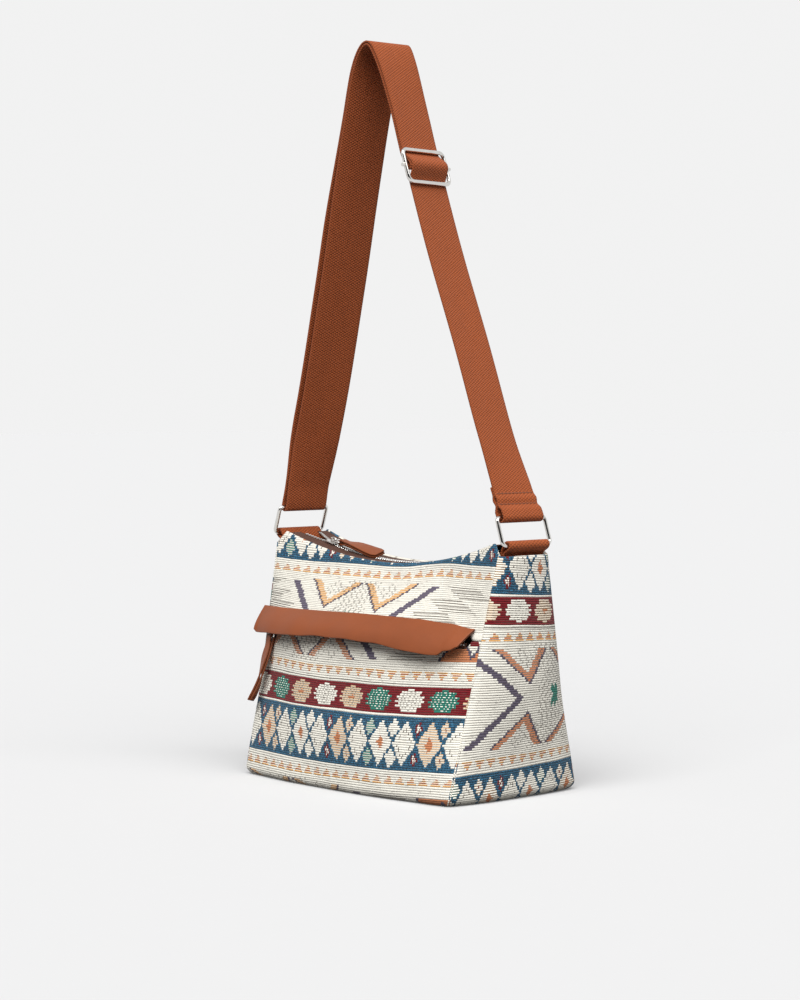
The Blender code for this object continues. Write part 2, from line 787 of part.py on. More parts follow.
def ring(name, side, finish):
    """A rectangular wire ring. Its own origin is on the lower bar, which turns in the webbing loop."""
    lower = Vector((side * RING_LOWER_X, RING_LOWER_Z))
    upper = Vector((side * RING_UPPER_X, RING_UPPER_Z))
    rise = upper - lower
    half_width = WEBBING_WIDTH / 2 + RING_SIDE_GAP + RING_WIRE
    outline = rounded_loop(rise.length / 2, half_width, RING_CORNER)
    unit = rise.normalized()
    places = []
    for a, b in outline:
        run = unit * (a + rise.length / 2)
        places.append((run.x, b, run.y))
    obj = wire_loop(name, places, RING_WIRE, finish, 3)
    obj.location = (lower.x, 0, lower.y)
    return obj


def webbing_half(_point):
    return WEBBING_WIDTH / 2


def webbing_loop(name, side, finish):
    """A short strip of webbing over the ring's lower bar, with both ends sewn in behind the gusset's top."""
    ply = (WEBBING + PLY_GAP) / 2
    eye = RING_WIRE + WIRE_FIT + WEBBING / 2
    low = GUSSET_HEIGHT - LOOP_TAIL
    wall = half_length(low) + gusset_bulge(low) * crown(WEBBING_WIDTH / TOP_DEPTH, GUSSET_POWER)
    root_x = wall - PANEL - LOOP_SEWN_GAP - WEBBING / 2 - ply
    root = Vector((root_x, low))
    tuck = Vector((root_x, GUSSET_HEIGHT + LOOP_STEP))
    line = MiddleLine([root, tuck, Vector((RING_LOWER_X, RING_LOWER_Z))], 4)
    spread = ((0.0, ply), (LOOP_TAIL, ply), (line.length, eye))
    stations = samples(0.0, line.length, LOOP_STATION)
    route = [line.at(s, -blend_list(spread, s)) for s in stations]
    route += eye_turn(line, line.length, eye, -1)
    route += [line.at(s, blend_list(spread, s)) for s in reversed(stations)]
    route = without_repeats(route)
    if side < 0:
        route = [Vector((-point.x, point.y)) for point in reversed(route)]
    return ribbon(name, route, webbing_half, WEBBING, finish)


def spline_points(knots, steps=6):
    """A smooth line through the knots, centripetal enough for even spacing."""
    line = []
    count = len(knots)
    for i in range(count - 1):
        before = knots[max(i - 1, 0)]
        after = knots[min(i + 2, count - 1)]
        start, stop = knots[i], knots[i + 1]
        for step in range(steps):
            t = step / steps
            pull_in = (stop - before) * 0.5
            pull_out = (after - start) * 0.5
            a = start * (2 * t ** 3 - 3 * t ** 2 + 1) + pull_in * (t ** 3 - 2 * t ** 2 + t)
            b = stop * (3 * t ** 2 - 2 * t ** 3) + pull_out * (t ** 3 - t ** 2)
            line.append(a + b)
    line.append(knots[-1])
    return line


class MiddleLine:
    """A middle line through knots, read by distance along it and distance to its left."""

    def __init__(self, knots, steps=6):
        self.points = spline_points(knots, steps)
        self.normals = route_normals(self.points)
        self.distance = [0.0]
        for a, b in zip(self.points, self.points[1:]):
            self.distance.append(self.distance[-1] + (b - a).length)
        self.length = self.distance[-1]

    def at(self, s, n=0.0):
        s = min(max(s, 0.0), self.length)
        index = 0
        while index < len(self.distance) - 2 and self.distance[index + 1] < s:
            index += 1
        t = (s - self.distance[index]) / (self.distance[index + 1] - self.distance[index])
        point = self.points[index].lerp(self.points[index + 1], t)
        normal = self.normals[index].lerp(self.normals[index + 1], t).normalized()
        return point + normal * n

    def frame(self, s):
        ahead = (self.at(s + 0.001) - self.at(s - 0.001)).normalized()
        return self.at(s), ahead, Vector((-ahead.y, ahead.x))


def strap_line():
    knots = [Vector((-RING_UPPER_X, RING_UPPER_Z))]
    for reach, rise in STRAP_WAYPOINTS:
        knots.append(Vector((reach * RING_UPPER_X, RING_UPPER_Z + rise * STRAP_RISE)))
    knots += [Vector((RING_UPPER_X, RING_UPPER_Z))]
    return MiddleLine(knots)


def blend_list(pairs, s):
    """Reads a smooth value at s from pairs of distance and value."""
    for (s0, n0), (s1, n1) in zip(pairs, pairs[1:]):
        if s <= s1:
            return lerp(n0, n1, ease((s - s0) / (s1 - s0)))
    return pairs[-1][1]


def samples(start, stop, step):
    count = max(2, round(abs(stop - start) / step))
    return [lerp(start, stop, i / count) for i in range(count + 1)]


def strap_sizes():
    """Distances from the strap's middle line that its plies keep at rings and adjuster."""
    ply = (WEBBING + PLY_GAP) / 2
    eye = RING_WIRE + WIRE_FIT + WEBBING / 2
    under = ADJUSTER_WIRE + WIRE_FIT + WEBBING / 2
    over = ADJUSTER_BAR + WIRE_FIT + WEBBING / 2
    frame_out = ply + under
    return {
        "ply": ply,
        "eye": eye,
        "frame": frame_out,
        "run_over": frame_out + over + WEBBING + PLY_GAP,
        "tail_over": frame_out + over,
        "tail_under": frame_out - over,
        "inner_under": frame_out - under - WEBBING - PLY_GAP,
    }


def strap_route(line):
    """The webbing's centre line: sewn fold at the right ring, through the adjuster, over the crest,
    round the left ring, back over the crest, and round the adjuster's bar."""
    size = strap_sizes()
    ply, eye = size["ply"], size["eye"]
    right_eye = eye + SWAY_SLACK
    end = line.length
    bar = end - ADJUSTER_RUN
    reach = ADJUSTER_LENGTH / 2
    step = STRAP_STATION
    outer = (
        (0.0, eye), (RING_TAPER, ply), (bar - reach, ply), (bar, size["run_over"]),
        (bar + reach, ply), (end - SEWN_TAIL, ply), (end, right_eye),
    )
    inner = (
        (0.0, -eye), (RING_TAPER, -ply), (bar - ADJUSTER_TAPER, -ply),
        (bar - reach, size["inner_under"]), (bar, size["tail_under"]),
    )
    tail = ((end - SEWN_TAIL, -ply), (end, -right_eye))
    near = reach + WEBBING
    route = [line.at(s, blend_list(tail, s)) for s in samples(end - SEWN_TAIL, end, step * 0.7)]
    route += eye_turn(line, end, right_eye, -1)
    route += [line.at(s, blend_list(outer, s)) for s in samples(end, bar + near + step / 3, step * 1.5)]
    route += [line.at(s, blend_list(outer, s)) for s in samples(bar + near, bar - near, step / 3)]
    route += [line.at(s, blend_list(outer, s)) for s in samples(bar - near - step / 2, 0.0, step)]
    route += eye_turn(line, 0.0, eye, 1)
    route += [line.at(s, blend_list(inner, s)) for s in samples(0.0, bar - reach, step)]
    route += [line.at(s, blend_list(inner, s)) for s in samples(bar - reach + step / 2, bar - SEAM, step / 2)]
    centre, ahead, out = line.frame(bar)
    centre = centre + out * size["frame"]
    over = size["tail_over"] - size["frame"]
    for angle in turn_angles(-90, 90, 8):
        route.append(centre + ahead * over * math.cos(angle) + out * over * math.sin(angle))
    route.append(centre - ahead * ADJUSTER_TAIL + out * (over - ADJUSTER_TAIL_DROP))
    return without_repeats(route)


def eye_turn(line, s, radius, direction):
    """The half turn of webbing round a ring's upper bar at one end of the line."""
    centre, ahead, out = line.frame(s)
    side = -ahead if direction > 0 else ahead
    first = out if direction > 0 else -out
    turn = []
    for angle in turn_angles(0, 180, 10)[1:-1]:
        turn.append(centre + first * radius * math.cos(angle) + side * radius * math.sin(angle))
    return turn


def without_repeats(route):
    kept = [route[0]]
    for point in route[1:]:
        if (point - kept[-1]).length > 0.0004:
            kept.append(point)
    return kept


def adjuster(line, looks):
    """A rounded wire frame and the bar that the webbing is sewn round, both proud of the strap's outer face."""
    size = strap_sizes()
    centre, ahead, out = line.frame(line.length - ADJUSTER_RUN)
    centre = centre + out * size["frame"]
    place = Matrix.Translation((centre.x, 0, centre.y))
    turn = Matrix(((ahead.x, 0, out.x), (0, 1, 0), (ahead.y, 0, out.y))).to_4x4()
    half_width = WEBBING_WIDTH / 2 + ADJUSTER_SIDE_GAP + ADJUSTER_WIRE
    outline = rounded_loop(ADJUSTER_LENGTH / 2, half_width, ADJUSTER_CORNER)
    frame = as_mesh(wire_loop("adjuster_frame", [(a, b, 0) for a, b in outline], ADJUSTER_WIRE, looks["metal"], 3))
    frame.matrix_world = place @ turn
    drill = bmesh.new()
    made = bmesh.ops.create_cone(
        drill, cap_ends=True, segments=10, radius1=ADJUSTER_NECK + ADJUSTER_NECK_FIT,
        radius2=ADJUSTER_NECK + ADJUSTER_NECK_FIT, depth=4 * half_width,
    )["verts"]
    bmesh.ops.rotate(drill, cent=(0, 0, 0), matrix=Matrix.Rotation(math.pi / 2, 3, "X"), verts=made)
    tool = object_from(drill, "adjuster_drill_tool", looks["metal"])
    tool.matrix_world = place @ turn
    tool.hide_render = True
    tool.display_type = "WIRE"
    cut = frame.modifiers.new("pin_hole", "BOOLEAN")
    cut.operation = "DIFFERENCE"
    cut.solver = "EXACT"
    cut.object = tool
    adjuster_pin(half_width, looks["metal"]).matrix_world = place @ turn


def adjuster_pin(half_width, finish):
    """A turned bar: full between the frame's sides, necked through them, with a head outside each."""
    inner = half_width - ADJUSTER_WIRE - SEAM
    outer = half_width + ADJUSTER_WIRE + SEAM
    profile = [
        (ADJUSTER_BAR, inner), (ADJUSTER_NECK, inner), (ADJUSTER_NECK, outer), (ADJUSTER_BAR, outer),
        (ADJUSTER_BAR, outer + ADJUSTER_HEAD * 0.6), (ADJUSTER_BAR * 0.5, outer + ADJUSTER_HEAD),
    ]
    profile = [(r, -y) for r, y in reversed(profile)] + profile
    bm = bmesh.new()
    tips = (profile[0][1], profile[-1][1])
    verts = [bm.verts.new((0, tips[0], 0))]
    verts += [bm.verts.new((r, y, 0)) for r, y in profile]
    verts.append(bm.verts.new((0, tips[1], 0)))
    edges = [bm.edges.new(pair) for pair in zip(verts, verts[1:])]
    bmesh.ops.spin(
        bm, geom=verts + edges, cent=(0, 0, 0), axis=(0, 1, 0), angle=2 * math.pi, steps=12, use_merge=True,
    )
    bmesh.ops.remove_doubles(bm, verts=bm.verts[:], dist=1e-6)
    return object_from(bm, "adjuster_bar", finish)


def looks():
    return {
        "weave": material("woven_jacquard", (0.78, 0.73, 0.64), 0.9),
        "lining": material("lining_cloth", (0.32, 0.22, 0.15), 0.8),
        "leather": material("leather", (0.42, 0.12, 0.04), 0.5),
        "webbing": material("webbing", (0.36, 0.10, 0.035), 0.8),
        "tape": material("zip_tape", (0.20, 0.08, 0.04), 0.85),
        "metal": material("nickel", (0.80, 0.78, 0.74), 0.25, 1.0),
    }


def build():
    clear_scene()
    finish = looks()
    base_panel(finish["weave"])
    front_upper_panel(finish["weave"])
    pocket_panel(finish["weave"])
    back_panel(finish["weave"])
    gusset("left_gusset", -1, finish["weave"])
    gusset("right_gusset", 1, finish["weave"])
    lining(finish["lining"])
    pocket_back(finish["lining"])
    placket(finish["leather"])
    top_zip(finish)
    pocket_zip(finish)
    for label, side in (("left", -1), ("right", 1)):
        webbing_loop(label + "_webbing_loop", side, finish["webbing"])
        ring(label + "_ring", side, finish["metal"])
    line = strap_line()
    ribbon("strap", strap_route(line), webbing_half, WEBBING, finish["webbing"])
    adjuster(line, finish)


build()
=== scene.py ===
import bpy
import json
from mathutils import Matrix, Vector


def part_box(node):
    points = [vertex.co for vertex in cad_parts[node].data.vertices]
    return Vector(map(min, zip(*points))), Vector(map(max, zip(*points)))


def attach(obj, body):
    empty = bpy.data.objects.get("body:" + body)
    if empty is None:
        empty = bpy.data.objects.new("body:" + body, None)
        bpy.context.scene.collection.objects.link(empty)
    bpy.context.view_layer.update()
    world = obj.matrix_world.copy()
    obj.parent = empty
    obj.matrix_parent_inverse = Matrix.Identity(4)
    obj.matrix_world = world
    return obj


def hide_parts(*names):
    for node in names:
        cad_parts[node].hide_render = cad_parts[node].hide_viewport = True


bl_info = {
    "name": "Woven crossbody bag",
    "version": (1, 0, 0),
    "blender": (4, 5, 0),
    "location": "3D View > Sidebar > Bag",
    "description": "Dresses the packed bag in jacquard, leather, webbing and nickel, and lights it",
    "category": "Object",
}

import json
import math

import bmesh
import bpy
from mathutils import Matrix, Vector, noise

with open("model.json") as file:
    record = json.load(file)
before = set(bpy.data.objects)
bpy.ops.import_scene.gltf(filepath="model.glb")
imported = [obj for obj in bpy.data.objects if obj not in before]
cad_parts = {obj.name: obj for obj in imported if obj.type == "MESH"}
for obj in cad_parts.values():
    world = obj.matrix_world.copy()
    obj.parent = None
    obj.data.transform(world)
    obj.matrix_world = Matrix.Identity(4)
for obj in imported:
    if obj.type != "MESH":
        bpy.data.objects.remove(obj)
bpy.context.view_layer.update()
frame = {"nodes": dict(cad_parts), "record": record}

# The bag's form, in metres, as in the part's source. The foot's radius, the sag and the closing of
# the pocket's slit are looks only.
BASE_LENGTH = 0.206
TOP_LENGTH = 0.228
BASE_DEPTH = 0.117
TOP_DEPTH = 0.047
GUSSET_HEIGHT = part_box("left_gusset")[1].z
EAR_HEIGHT = GUSSET_HEIGHT + 0.0085
EAR_RUN = 0.008
RIM_MIDDLE_HEIGHT = GUSSET_HEIGHT - 0.0095
RIM_HALF_CHORD = TOP_LENGTH / 2 - EAR_RUN
RIM_RISE = 0.018
FOOT_RADIUS = 0.0065
POCKET_FOOT_SHARE = 0.18
BACK_FOOT_SHARE = 0.14
GUSSET_FOOT_SHARE = 0.16
SAG_HEIGHT = 0.075
SAG_SIDE = 0.0018
SAG_FRONT = 0.0028
PANEL = 0.0024
SEAM = 0.0003
SEAM_ROLL_REACH = 0.0035
FACE_BULGE_BASE = 0.008
FACE_BULGE_MIDDLE = 0.015
FACE_BULGE_RIM = -0.008
FACE_BULGE_START = 0.050
FACE_BULGE_END = 0.108
FACE_POWER = 2.3
BLUE_BAND_HEIGHT = 0.1528
GUSSET_BULGE_BASE = 0.005
GUSSET_BULGE_MIDDLE = 0.010
GUSSET_BULGE_TOP = 0.006
GUSSET_POWER = 3.0
POCKET_ZIP_HEIGHT = 0.108
POCKET_SLIT = 0.0108
POCKET_SLIT_CLOSE = 0.0045
POCKET_SLIT_END = 0.0006
POCKET_SLIT_SHARE = 0.88
PLACKET_TOP = 0.1192
PLACKET_DROP = 0.0178
PLACKET_THICKNESS = 0.0016
PLACKET_STANDOFF = 0.0078
PLACKET_LEFT_OVERHANG = 0.002
PLACKET_RIGHT_INSET = 0.006
PLACKET_END_SLANT = 0.005
PLACKET_CORNER = 0.0018
# How much higher each edge of the flap lies than straight, along it from -1 to 1
PLACKET_TOP_EDGE = (
    (-1.0, -0.0005), (0.15, 0.0013), (0.55, 0.0010), (0.8, -0.0004), (1.0, -0.0030),
)
PLACKET_LOW_EDGE = (
    (-1.0, -0.0008), (-0.6, 0.0), (-0.2, 0.0026), (0.3, 0.0018), (0.8, -0.0032), (0.86, -0.0030),
    (0.91, 0.0000), (1.0, 0.0012),
)
LINING = 0.0008
LINING_TOP_DROP = 0.0108
LINING_EASE = 0.0019
LINING_SLACK = 0.0016
POCKET_BACK_SLACK = 0.0006
LINING_POCKET_EASE = 0.0128
POCKET_DEPTH = 0.011
POCKET_MARGIN = 0.010
POCKET_HEM = 0.002
POCKET_BACK_RISE = 0.0086

# Zips, pulls, rings and strap, as in the part's source. The pocket pull's length, the sewn rows and
# the belly of the strap are looks only.
TAPE = 0.0007
TAPE_DROP = 0.0012
ROW_GAP = 0.0006
ROW_WIDTH = 0.0028
ROW_HEIGHT = 0.0024
TOP_ZIP_HALF = TOP_LENGTH / 2 - 0.013
TOP_TAPE_END = 0.004
MOUTH_SPREAD = 0.0055
POCKET_ZIP_HALF = 0.0985
SLIDER_LENGTH = 0.0095
SLIDER_WIDTH = 0.0098
SLIDER_PLATE = 0.0009
SLIDER_CLEARANCE = 0.0004
BRIDGE_LENGTH = 0.0060
BRIDGE_HEIGHT = 0.0030
BRIDGE_WIRE = 0.0009
POCKET_BRIDGE_SHIFT = 0.0016
TOP_SLIDER_X = 0.023 - TOP_ZIP_HALF
POCKET_SLIDER_X = -0.0925
LINK_WIRE = 0.0006
LINK_LENGTH = 0.0085
LINK_HALF_WIDTH = 0.0040
LINK_CORNER = 0.0012
PULL_FIT = 0.0003
TOP_PULL_LENGTH = 0.040
TOP_PULL_WIDTH = 0.011
POCKET_PULL_LENGTH = 0.0475
POCKET_PULL_WIDTH = 0.010
PULL_LEATHER = 0.0013
PULL_ROOT_HALF = 0.0029
PULL_SHOULDER = 0.014
PULL_TIP = 0.004
PULL_TIP_SHARE = 0.8
TOP_PULL_LIFT = 5.0
TOP_PULL_TWIST = 20.0
POCKET_PULL_LEAN = 14.0
POCKET_PULL_TWIST = 42.0
POCKET_PULL_CURL = 0.0055
WEBBING_WIDTH = 0.0376
WEBBING = 0.0015
PLY_GAP = 0.0004
WIRE_FIT = 0.0003
RING_WIRE = 0.0014
RING_SIDE_GAP = 0.0022
RING_CORNER = 0.0031
RING_LOWER_X = TOP_LENGTH / 2 + 0.0025
RING_LOWER_Z = GUSSET_HEIGHT + 0.0070
RING_UPPER_X = RING_LOWER_X - 0.0061
RING_UPPER_Z = RING_LOWER_Z + 0.0184
RING_TAPER = 0.018
SWAY_SLACK = 0.0005
LOOP_TAIL = 0.0095
LOOP_STEP = 0.0009
LOOP_SEWN_GAP = 0.0007
ADJUSTER_RUN = 0.2545
ADJUSTER_WIRE = 0.0015
ADJUSTER_SIDE_GAP = 0.0014
ADJUSTER_LENGTH = 0.0235
ADJUSTER_CORNER = 0.004
ADJUSTER_BAR = 0.0013
ADJUSTER_HEAD = 0.0022
SEWN_TAIL = 0.022
SEWN_ROWS = (0.0165, 0.0088)
STITCH_HALF = (0.00045, 0.0003)
STITCH_ROUND = 0.00022
BELLY = 0.0036
BELLY_SPAN = (0.07, 0.19)
BELLY_END = 0.29
ADJUSTER_TAIL = 0.006
ADJUSTER_TAIL_DROP = 0.0022
ADJUSTER_TAPER = 0.028
STRAP_RISE = 0.3246
STRAP_WAYPOINTS = (
    (-0.856, 0.173), (-0.720, 0.348), (-0.600, 0.515), (-0.496, 0.678), (-0.385, 0.841),
    (-0.299, 0.955), (-0.199, 1.000), (-0.111, 0.965), (0.011, 0.860), (0.131, 0.740),
    (0.341, 0.543), (0.580, 0.342), (0.788, 0.161),
)
LEFT_STRAND_TURN = 9.0
RIGHT_STRAND_TURN = -7.0
STRAP_CURL = 0.0012
STRAND_CHANGE = (-0.040, 0.045)
STRAND_TURN_RISE = (0.192, 0.05)
STRAP_CURL_RISE = (0.21, 0.06)

RIM_RADIUS = (RIM_HALF_CHORD ** 2 + RIM_RISE ** 2) / (2 * RIM_RISE)
ZIP_CENTRE_Z = RIM_MIDDLE_HEIGHT + RIM_RADIUS
CHAIN_RADIUS = RIM_RADIUS + TAPE_DROP
PLATE_TOP = ROW_HEIGHT / 2 + SLIDER_CLEARANCE + SLIDER_PLATE

# The woven cloth's rows in millimetres, counted down from the top of the blue band
BLUE_BAND = 36.0
TRIANGLES_UP = 39.9
TRIANGLE_HEIGHT = 5.5
FIELD_MIDDLE = 83.4
FIELD_HALF = 35.0
TRIANGLES_DOWN = 121.0
DARK_LINE = 129.4
RED_BAND = 131.9
RED_BAND_END = 150.4
CLOTH_PERIOD = 151.8
DIAMOND_PITCH = 20.55
DIAMOND_START = -101.7
ROSETTE_PITCH = 26.6
ROSETTE_START = -98.7
FLOWER_PLACE = -48.0
FIELD_PERIOD = 300.0
# Where each panel's cloth is cut: how far along the pattern, and at which row
UPPER_SHIFT = 33.0
POCKET_ROW = 54.2
BACK_SHIFT = 12.0
BACK_ROW = 62.0
GUSSET_SHIFT = 28.9
GUSSET_ROW = 137.3
BASE_ROW = 70.0
ROW = 1.56
WARP_STEP = 0.62
RIB_SHARE = 0.42
DARK_LINE_WIDTH = 0.7
DIAMOND_HALF = (9.7, 15.6)
SMALL_DIAMOND_HALF = (3.3, 5.6)
SMALL_DIAMOND_RISE = 8.0
ROSETTE_HALF = (11.8, 7.9)
CHEVRON_PLACE = 27.4
CHEVRON_FOOT = 13.5
CHEVRON_SLOPE = 1.08
CHEVRON_HALF = 3.2
SIDE_CHEVRON_PLACE = 40.0
SIDE_CHEVRON_HALF = 3.6
SIDE_SHIFT = 9.6
SIDE_LEAN = 0.36
HATCH = (77.0, 107.0)
PEAK_PLACE = 139.0
SEAM_FLOWER = 147.0
WEAVE_PITCH = (1.7, 1.9)
SELVEDGE = 1.3
GOLDEN = (0.76, 0.40, 0.13)
LINING_TONE = (0.10, 0.055, 0.035)
TAPE_TONE = (0.085, 0.032, 0.018)
THREAD_TONE = (0.22, 0.065, 0.026)
NICKEL_TONES = ((0.62, 0.61, 0.58), (0.78, 0.76, 0.73))


class BagColours(bpy.types.PropertyGroup):
    """Colours of the cloth, leather and webbing, as linear values."""

    cream: bpy.props.FloatVectorProperty(
        name="Cream", description="Ground of the cloth", subtype="COLOR",
        default=(0.90, 0.865, 0.765),
    )
    blue: bpy.props.FloatVectorProperty(
        name="Blue", description="Ground of the diamond band", subtype="COLOR",
        default=(0.018, 0.078, 0.135),
    )
    red: bpy.props.FloatVectorProperty(
        name="Red", description="Ground of the rosette band", subtype="COLOR",
        default=(0.165, 0.006, 0.011),
    )
    green: bpy.props.FloatVectorProperty(
        name="Green", description="Green rosettes and flower", subtype="COLOR",
        default=(0.020, 0.20, 0.145),
    )
    tan: bpy.props.FloatVectorProperty(
        name="Tan", description="Tan rosettes and diamonds", subtype="COLOR",
        default=(0.68, 0.44, 0.24),
    )
    orange: bpy.props.FloatVectorProperty(
        name="Orange", description="Chevrons and triangles", subtype="COLOR",
        default=(0.58, 0.215, 0.095),
    )
    slate: bpy.props.FloatVectorProperty(
        name="Slate", description="Slate chevrons", subtype="COLOR",
        default=(0.105, 0.088, 0.125),
    )
    fleck: bpy.props.FloatVectorProperty(
        name="Fleck", description="Dark yarn that shows as dashes", subtype="COLOR",
        default=(0.075, 0.055, 0.042),
    )
    leather: bpy.props.FloatVectorProperty(
        name="Leather", description="Flap and pulls", subtype="COLOR",
        default=(0.265, 0.065, 0.017),
    )
    webbing: bpy.props.FloatVectorProperty(
        name="Webbing", description="Strap and loops", subtype="COLOR",
        default=(0.345, 0.076, 0.017),
    )


class BagSizes(bpy.types.PropertyGroup):
    """Sizes of the fine detail that a user may change."""

    cloth_lumps: bpy.props.FloatProperty(
        name="Cloth lumps", description="How far the soft walls wander", unit="LENGTH",
        default=0.0011,
    )
    seam_roll: bpy.props.FloatProperty(
        name="Seam roll", description="How far the cloth turns in at a seam", unit="LENGTH",
        default=0.0013,
    )
    tooth_pitch: bpy.props.FloatProperty(
        name="Tooth pitch", description="Distance between zip teeth", unit="LENGTH",
        default=0.0022,
    )
    stitch: bpy.props.FloatProperty(
        name="Stitch", description="Length of one stitch", unit="LENGTH",
        default=0.0028,
    )


def lerp(a, b, t):
    return a + (b - a) * t


def ease(t):
    t = min(max(t, 0.0), 1.0)
    return t * t * (3 - 2 * t)


def ramp(place, start_and_length):
    """0 before the start, 1 after the length, and smooth between."""
    start, length = start_and_length
    return ease((place - start) / length)


def colours():
    return bpy.context.scene.bag_colours


def sizes():
    return bpy.context.scene.bag_sizes


# Shader arithmetic


class Number:
    """A number in a node tree, so that a pattern can be written as a formula."""

    def __init__(self, tree, source):
        self.tree = tree
        self.source = source

    def apply(self, operation, *others):
        node = self.tree.nodes.new("ShaderNodeMath")
        node.operation = operation
        for socket, item in zip(node.inputs, (self, *others)):
            value = item.source if isinstance(item, Number) else item
            if isinstance(value, (int, float)):
                socket.default_value = value
            else:
                self.tree.links.new(value, socket)
        return Number(self.tree, node.outputs[0])

    def __neg__(self):
        return self * -1.0

    def between(self, low, high):
        return (self > low) * (self < high)

    def near(self, value, reach=0.5):
        return abs(self - value) < reach


def number_method(operation):
    """A method of Number that adds one math node."""
    return lambda self, *others: self.apply(operation, *others)


for method, operation in {
    "__add__": "ADD",
    "__sub__": "SUBTRACT",
    "__mul__": "MULTIPLY",
    "__truediv__": "DIVIDE",
    "__lt__": "LESS_THAN",
    "__gt__": "GREATER_THAN",
    "__abs__": "ABSOLUTE",
    "floor": "FLOOR",
    "fract": "FRACT",
    "wrap": "FLOORED_MODULO",
    "snap": "SNAP",
    "least": "MINIMUM",
    "most": "MAXIMUM",
    "power": "POWER",
    "sine": "SINE",
}.items():
    setattr(Number, method, number_method(operation))


def linked(tree, value, socket):
    """Feeds a number, a socket or a colour into a socket."""
    if isinstance(value, Number):
        value = value.source
    if hasattr(value, "is_linked"):
        tree.links.new(value, socket)
    elif hasattr(value, "__len__"):
        socket.default_value = (*value[:3], 1.0) if len(socket.default_value) == 4 else value
    else:
        socket.default_value = value


def mixed(tree, factor, under, over):
    """A colour that turns from under to over as the factor goes from 0 to 1."""
    node = tree.nodes.new("ShaderNodeMix")
    node.data_type = "RGBA"
    for value, index in ((factor, 0), (under, 6), (over, 7)):
        linked(tree, value, node.inputs[index])
    return node.outputs[2]


def new_material(name):
    made = bpy.data.materials.new(name)
    made.use_nodes = True
    tree = made.node_tree
    return made, tree, tree.nodes["Principled BSDF"]


def object_place(tree):
    return tree.nodes.new("ShaderNodeTexCoord").outputs["Object"]


def cloth_place(tree):
    """The two numbers of the piece's own map, in millimetres."""
    node = tree.nodes.new("ShaderNodeUVMap")
    node.uv_map = "cloth"
    split = tree.nodes.new("ShaderNodeSeparateXYZ")
    tree.links.new(node.outputs[0], split.inputs[0])
    return Number(tree, split.outputs[0]), Number(tree, split.outputs[1])


def grain(tree, place, scale, detail=3.0, roughness=0.5):
    node = tree.nodes.new("ShaderNodeTexNoise")
    node.inputs["Scale"].default_value = scale
    node.inputs["Detail"].default_value = detail
    node.inputs["Roughness"].default_value = roughness
    linked(tree, place, node.inputs["Vector"])
    return Number(tree, node.outputs["Fac"])


def shades(colour, *factors):
    """The colour made darker or lighter by each factor."""
    return [[c * factor for c in colour] for factor in factors]


def surface(tree, shader, **values):
    """Sets the shader's sockets. Spaces in their names are written as underscores."""
    for name, value in values.items():
        linked(tree, value, shader.inputs[name.replace("_", " ")])


def bumped(tree, shader, height, distance, strength=1.0):
    node = tree.nodes.new("ShaderNodeBump")
    node.inputs["Strength"].default_value = strength
    node.inputs["Distance"].default_value = distance
    linked(tree, height, node.inputs["Height"])
    tree.links.new(node.outputs[0], shader.inputs["Normal"])


# The jacquard


def stepped_triangles(u, row, upward):
    """A row of small triangles built of four bars: where they show, and where they are darker."""
    across = abs((u / (DIAMOND_PITCH / 2)).fract() - 0.5) * (DIAMOND_PITCH / 2)
    down = row / TRIANGLE_HEIGHT
    inside = down.between(0.0, 1.0)
    if not upward:
        down = -down + 1.0
    bar = down * 4.0
    step = bar.floor() + 1.0
    bars = bar.fract() < 0.74
    return inside * (across < step) * bars, (down * 2.0).fract() > 0.5


def blue_band(tree, u, v, ground, rib):
    """Large diamonds in two colours, with small ones above and below where they meet."""
    look = colours()
    place = (u - (DIAMOND_START - DIAMOND_PITCH / 2)) / DIAMOND_PITCH
    kind = place.floor().wrap(4.0)
    across = abs(place.fract() - 0.5) * DIAMOND_PITCH
    down = abs(v - BLUE_BAND / 2)
    size = across / DIAMOND_HALF[0] + down / DIAMOND_HALF[1]
    tan_kind = kind.wrap(2.0) > 0.5
    cored = kind > 2.5
    pale = mixed(tree, rib * tan_kind, look.cream, look.tan)
    pale = mixed(tree, tan_kind * (size < 0.34), pale, look.orange)
    pale = mixed(tree, cored * (rib + (size * 5.0).fract() > 1.0), pale, look.cream)
    pale = mixed(tree, cored * (size < 0.26), pale, look.orange)
    ring = size.between(0.60, 0.68) * (-tan_kind + 1.0) * (u * 0.9).fract().between(0.2, 0.6)
    pale = mixed(tree, ring, pale, look.fleck)
    colour = mixed(tree, size < 1.0, ground, pale)
    beside = (u - DIAMOND_START) / DIAMOND_PITCH
    sort = beside.floor().wrap(4.0)
    near = abs(beside.fract() - 0.5) * DIAMOND_PITCH
    rise = abs(down - (BLUE_BAND / 2 - SMALL_DIAMOND_RISE))
    wide, tall = SMALL_DIAMOND_HALF
    small = near / (sort * 0.65 + wide) + rise / (sort * 0.45 + tall)
    maroon = sort < 0.5
    fill = mixed(tree, rib * sort.between(0.5, 2.5), look.cream, look.tan)
    fill = mixed(tree, rib * sort.near(2.0), fill, look.green)
    fill = mixed(tree, maroon * (small > 0.55), fill, look.red)
    fill = mixed(tree, (small < 0.22) * (sort < 1.5), fill, look.red)
    return mixed(tree, small < 1.0, colour, fill)


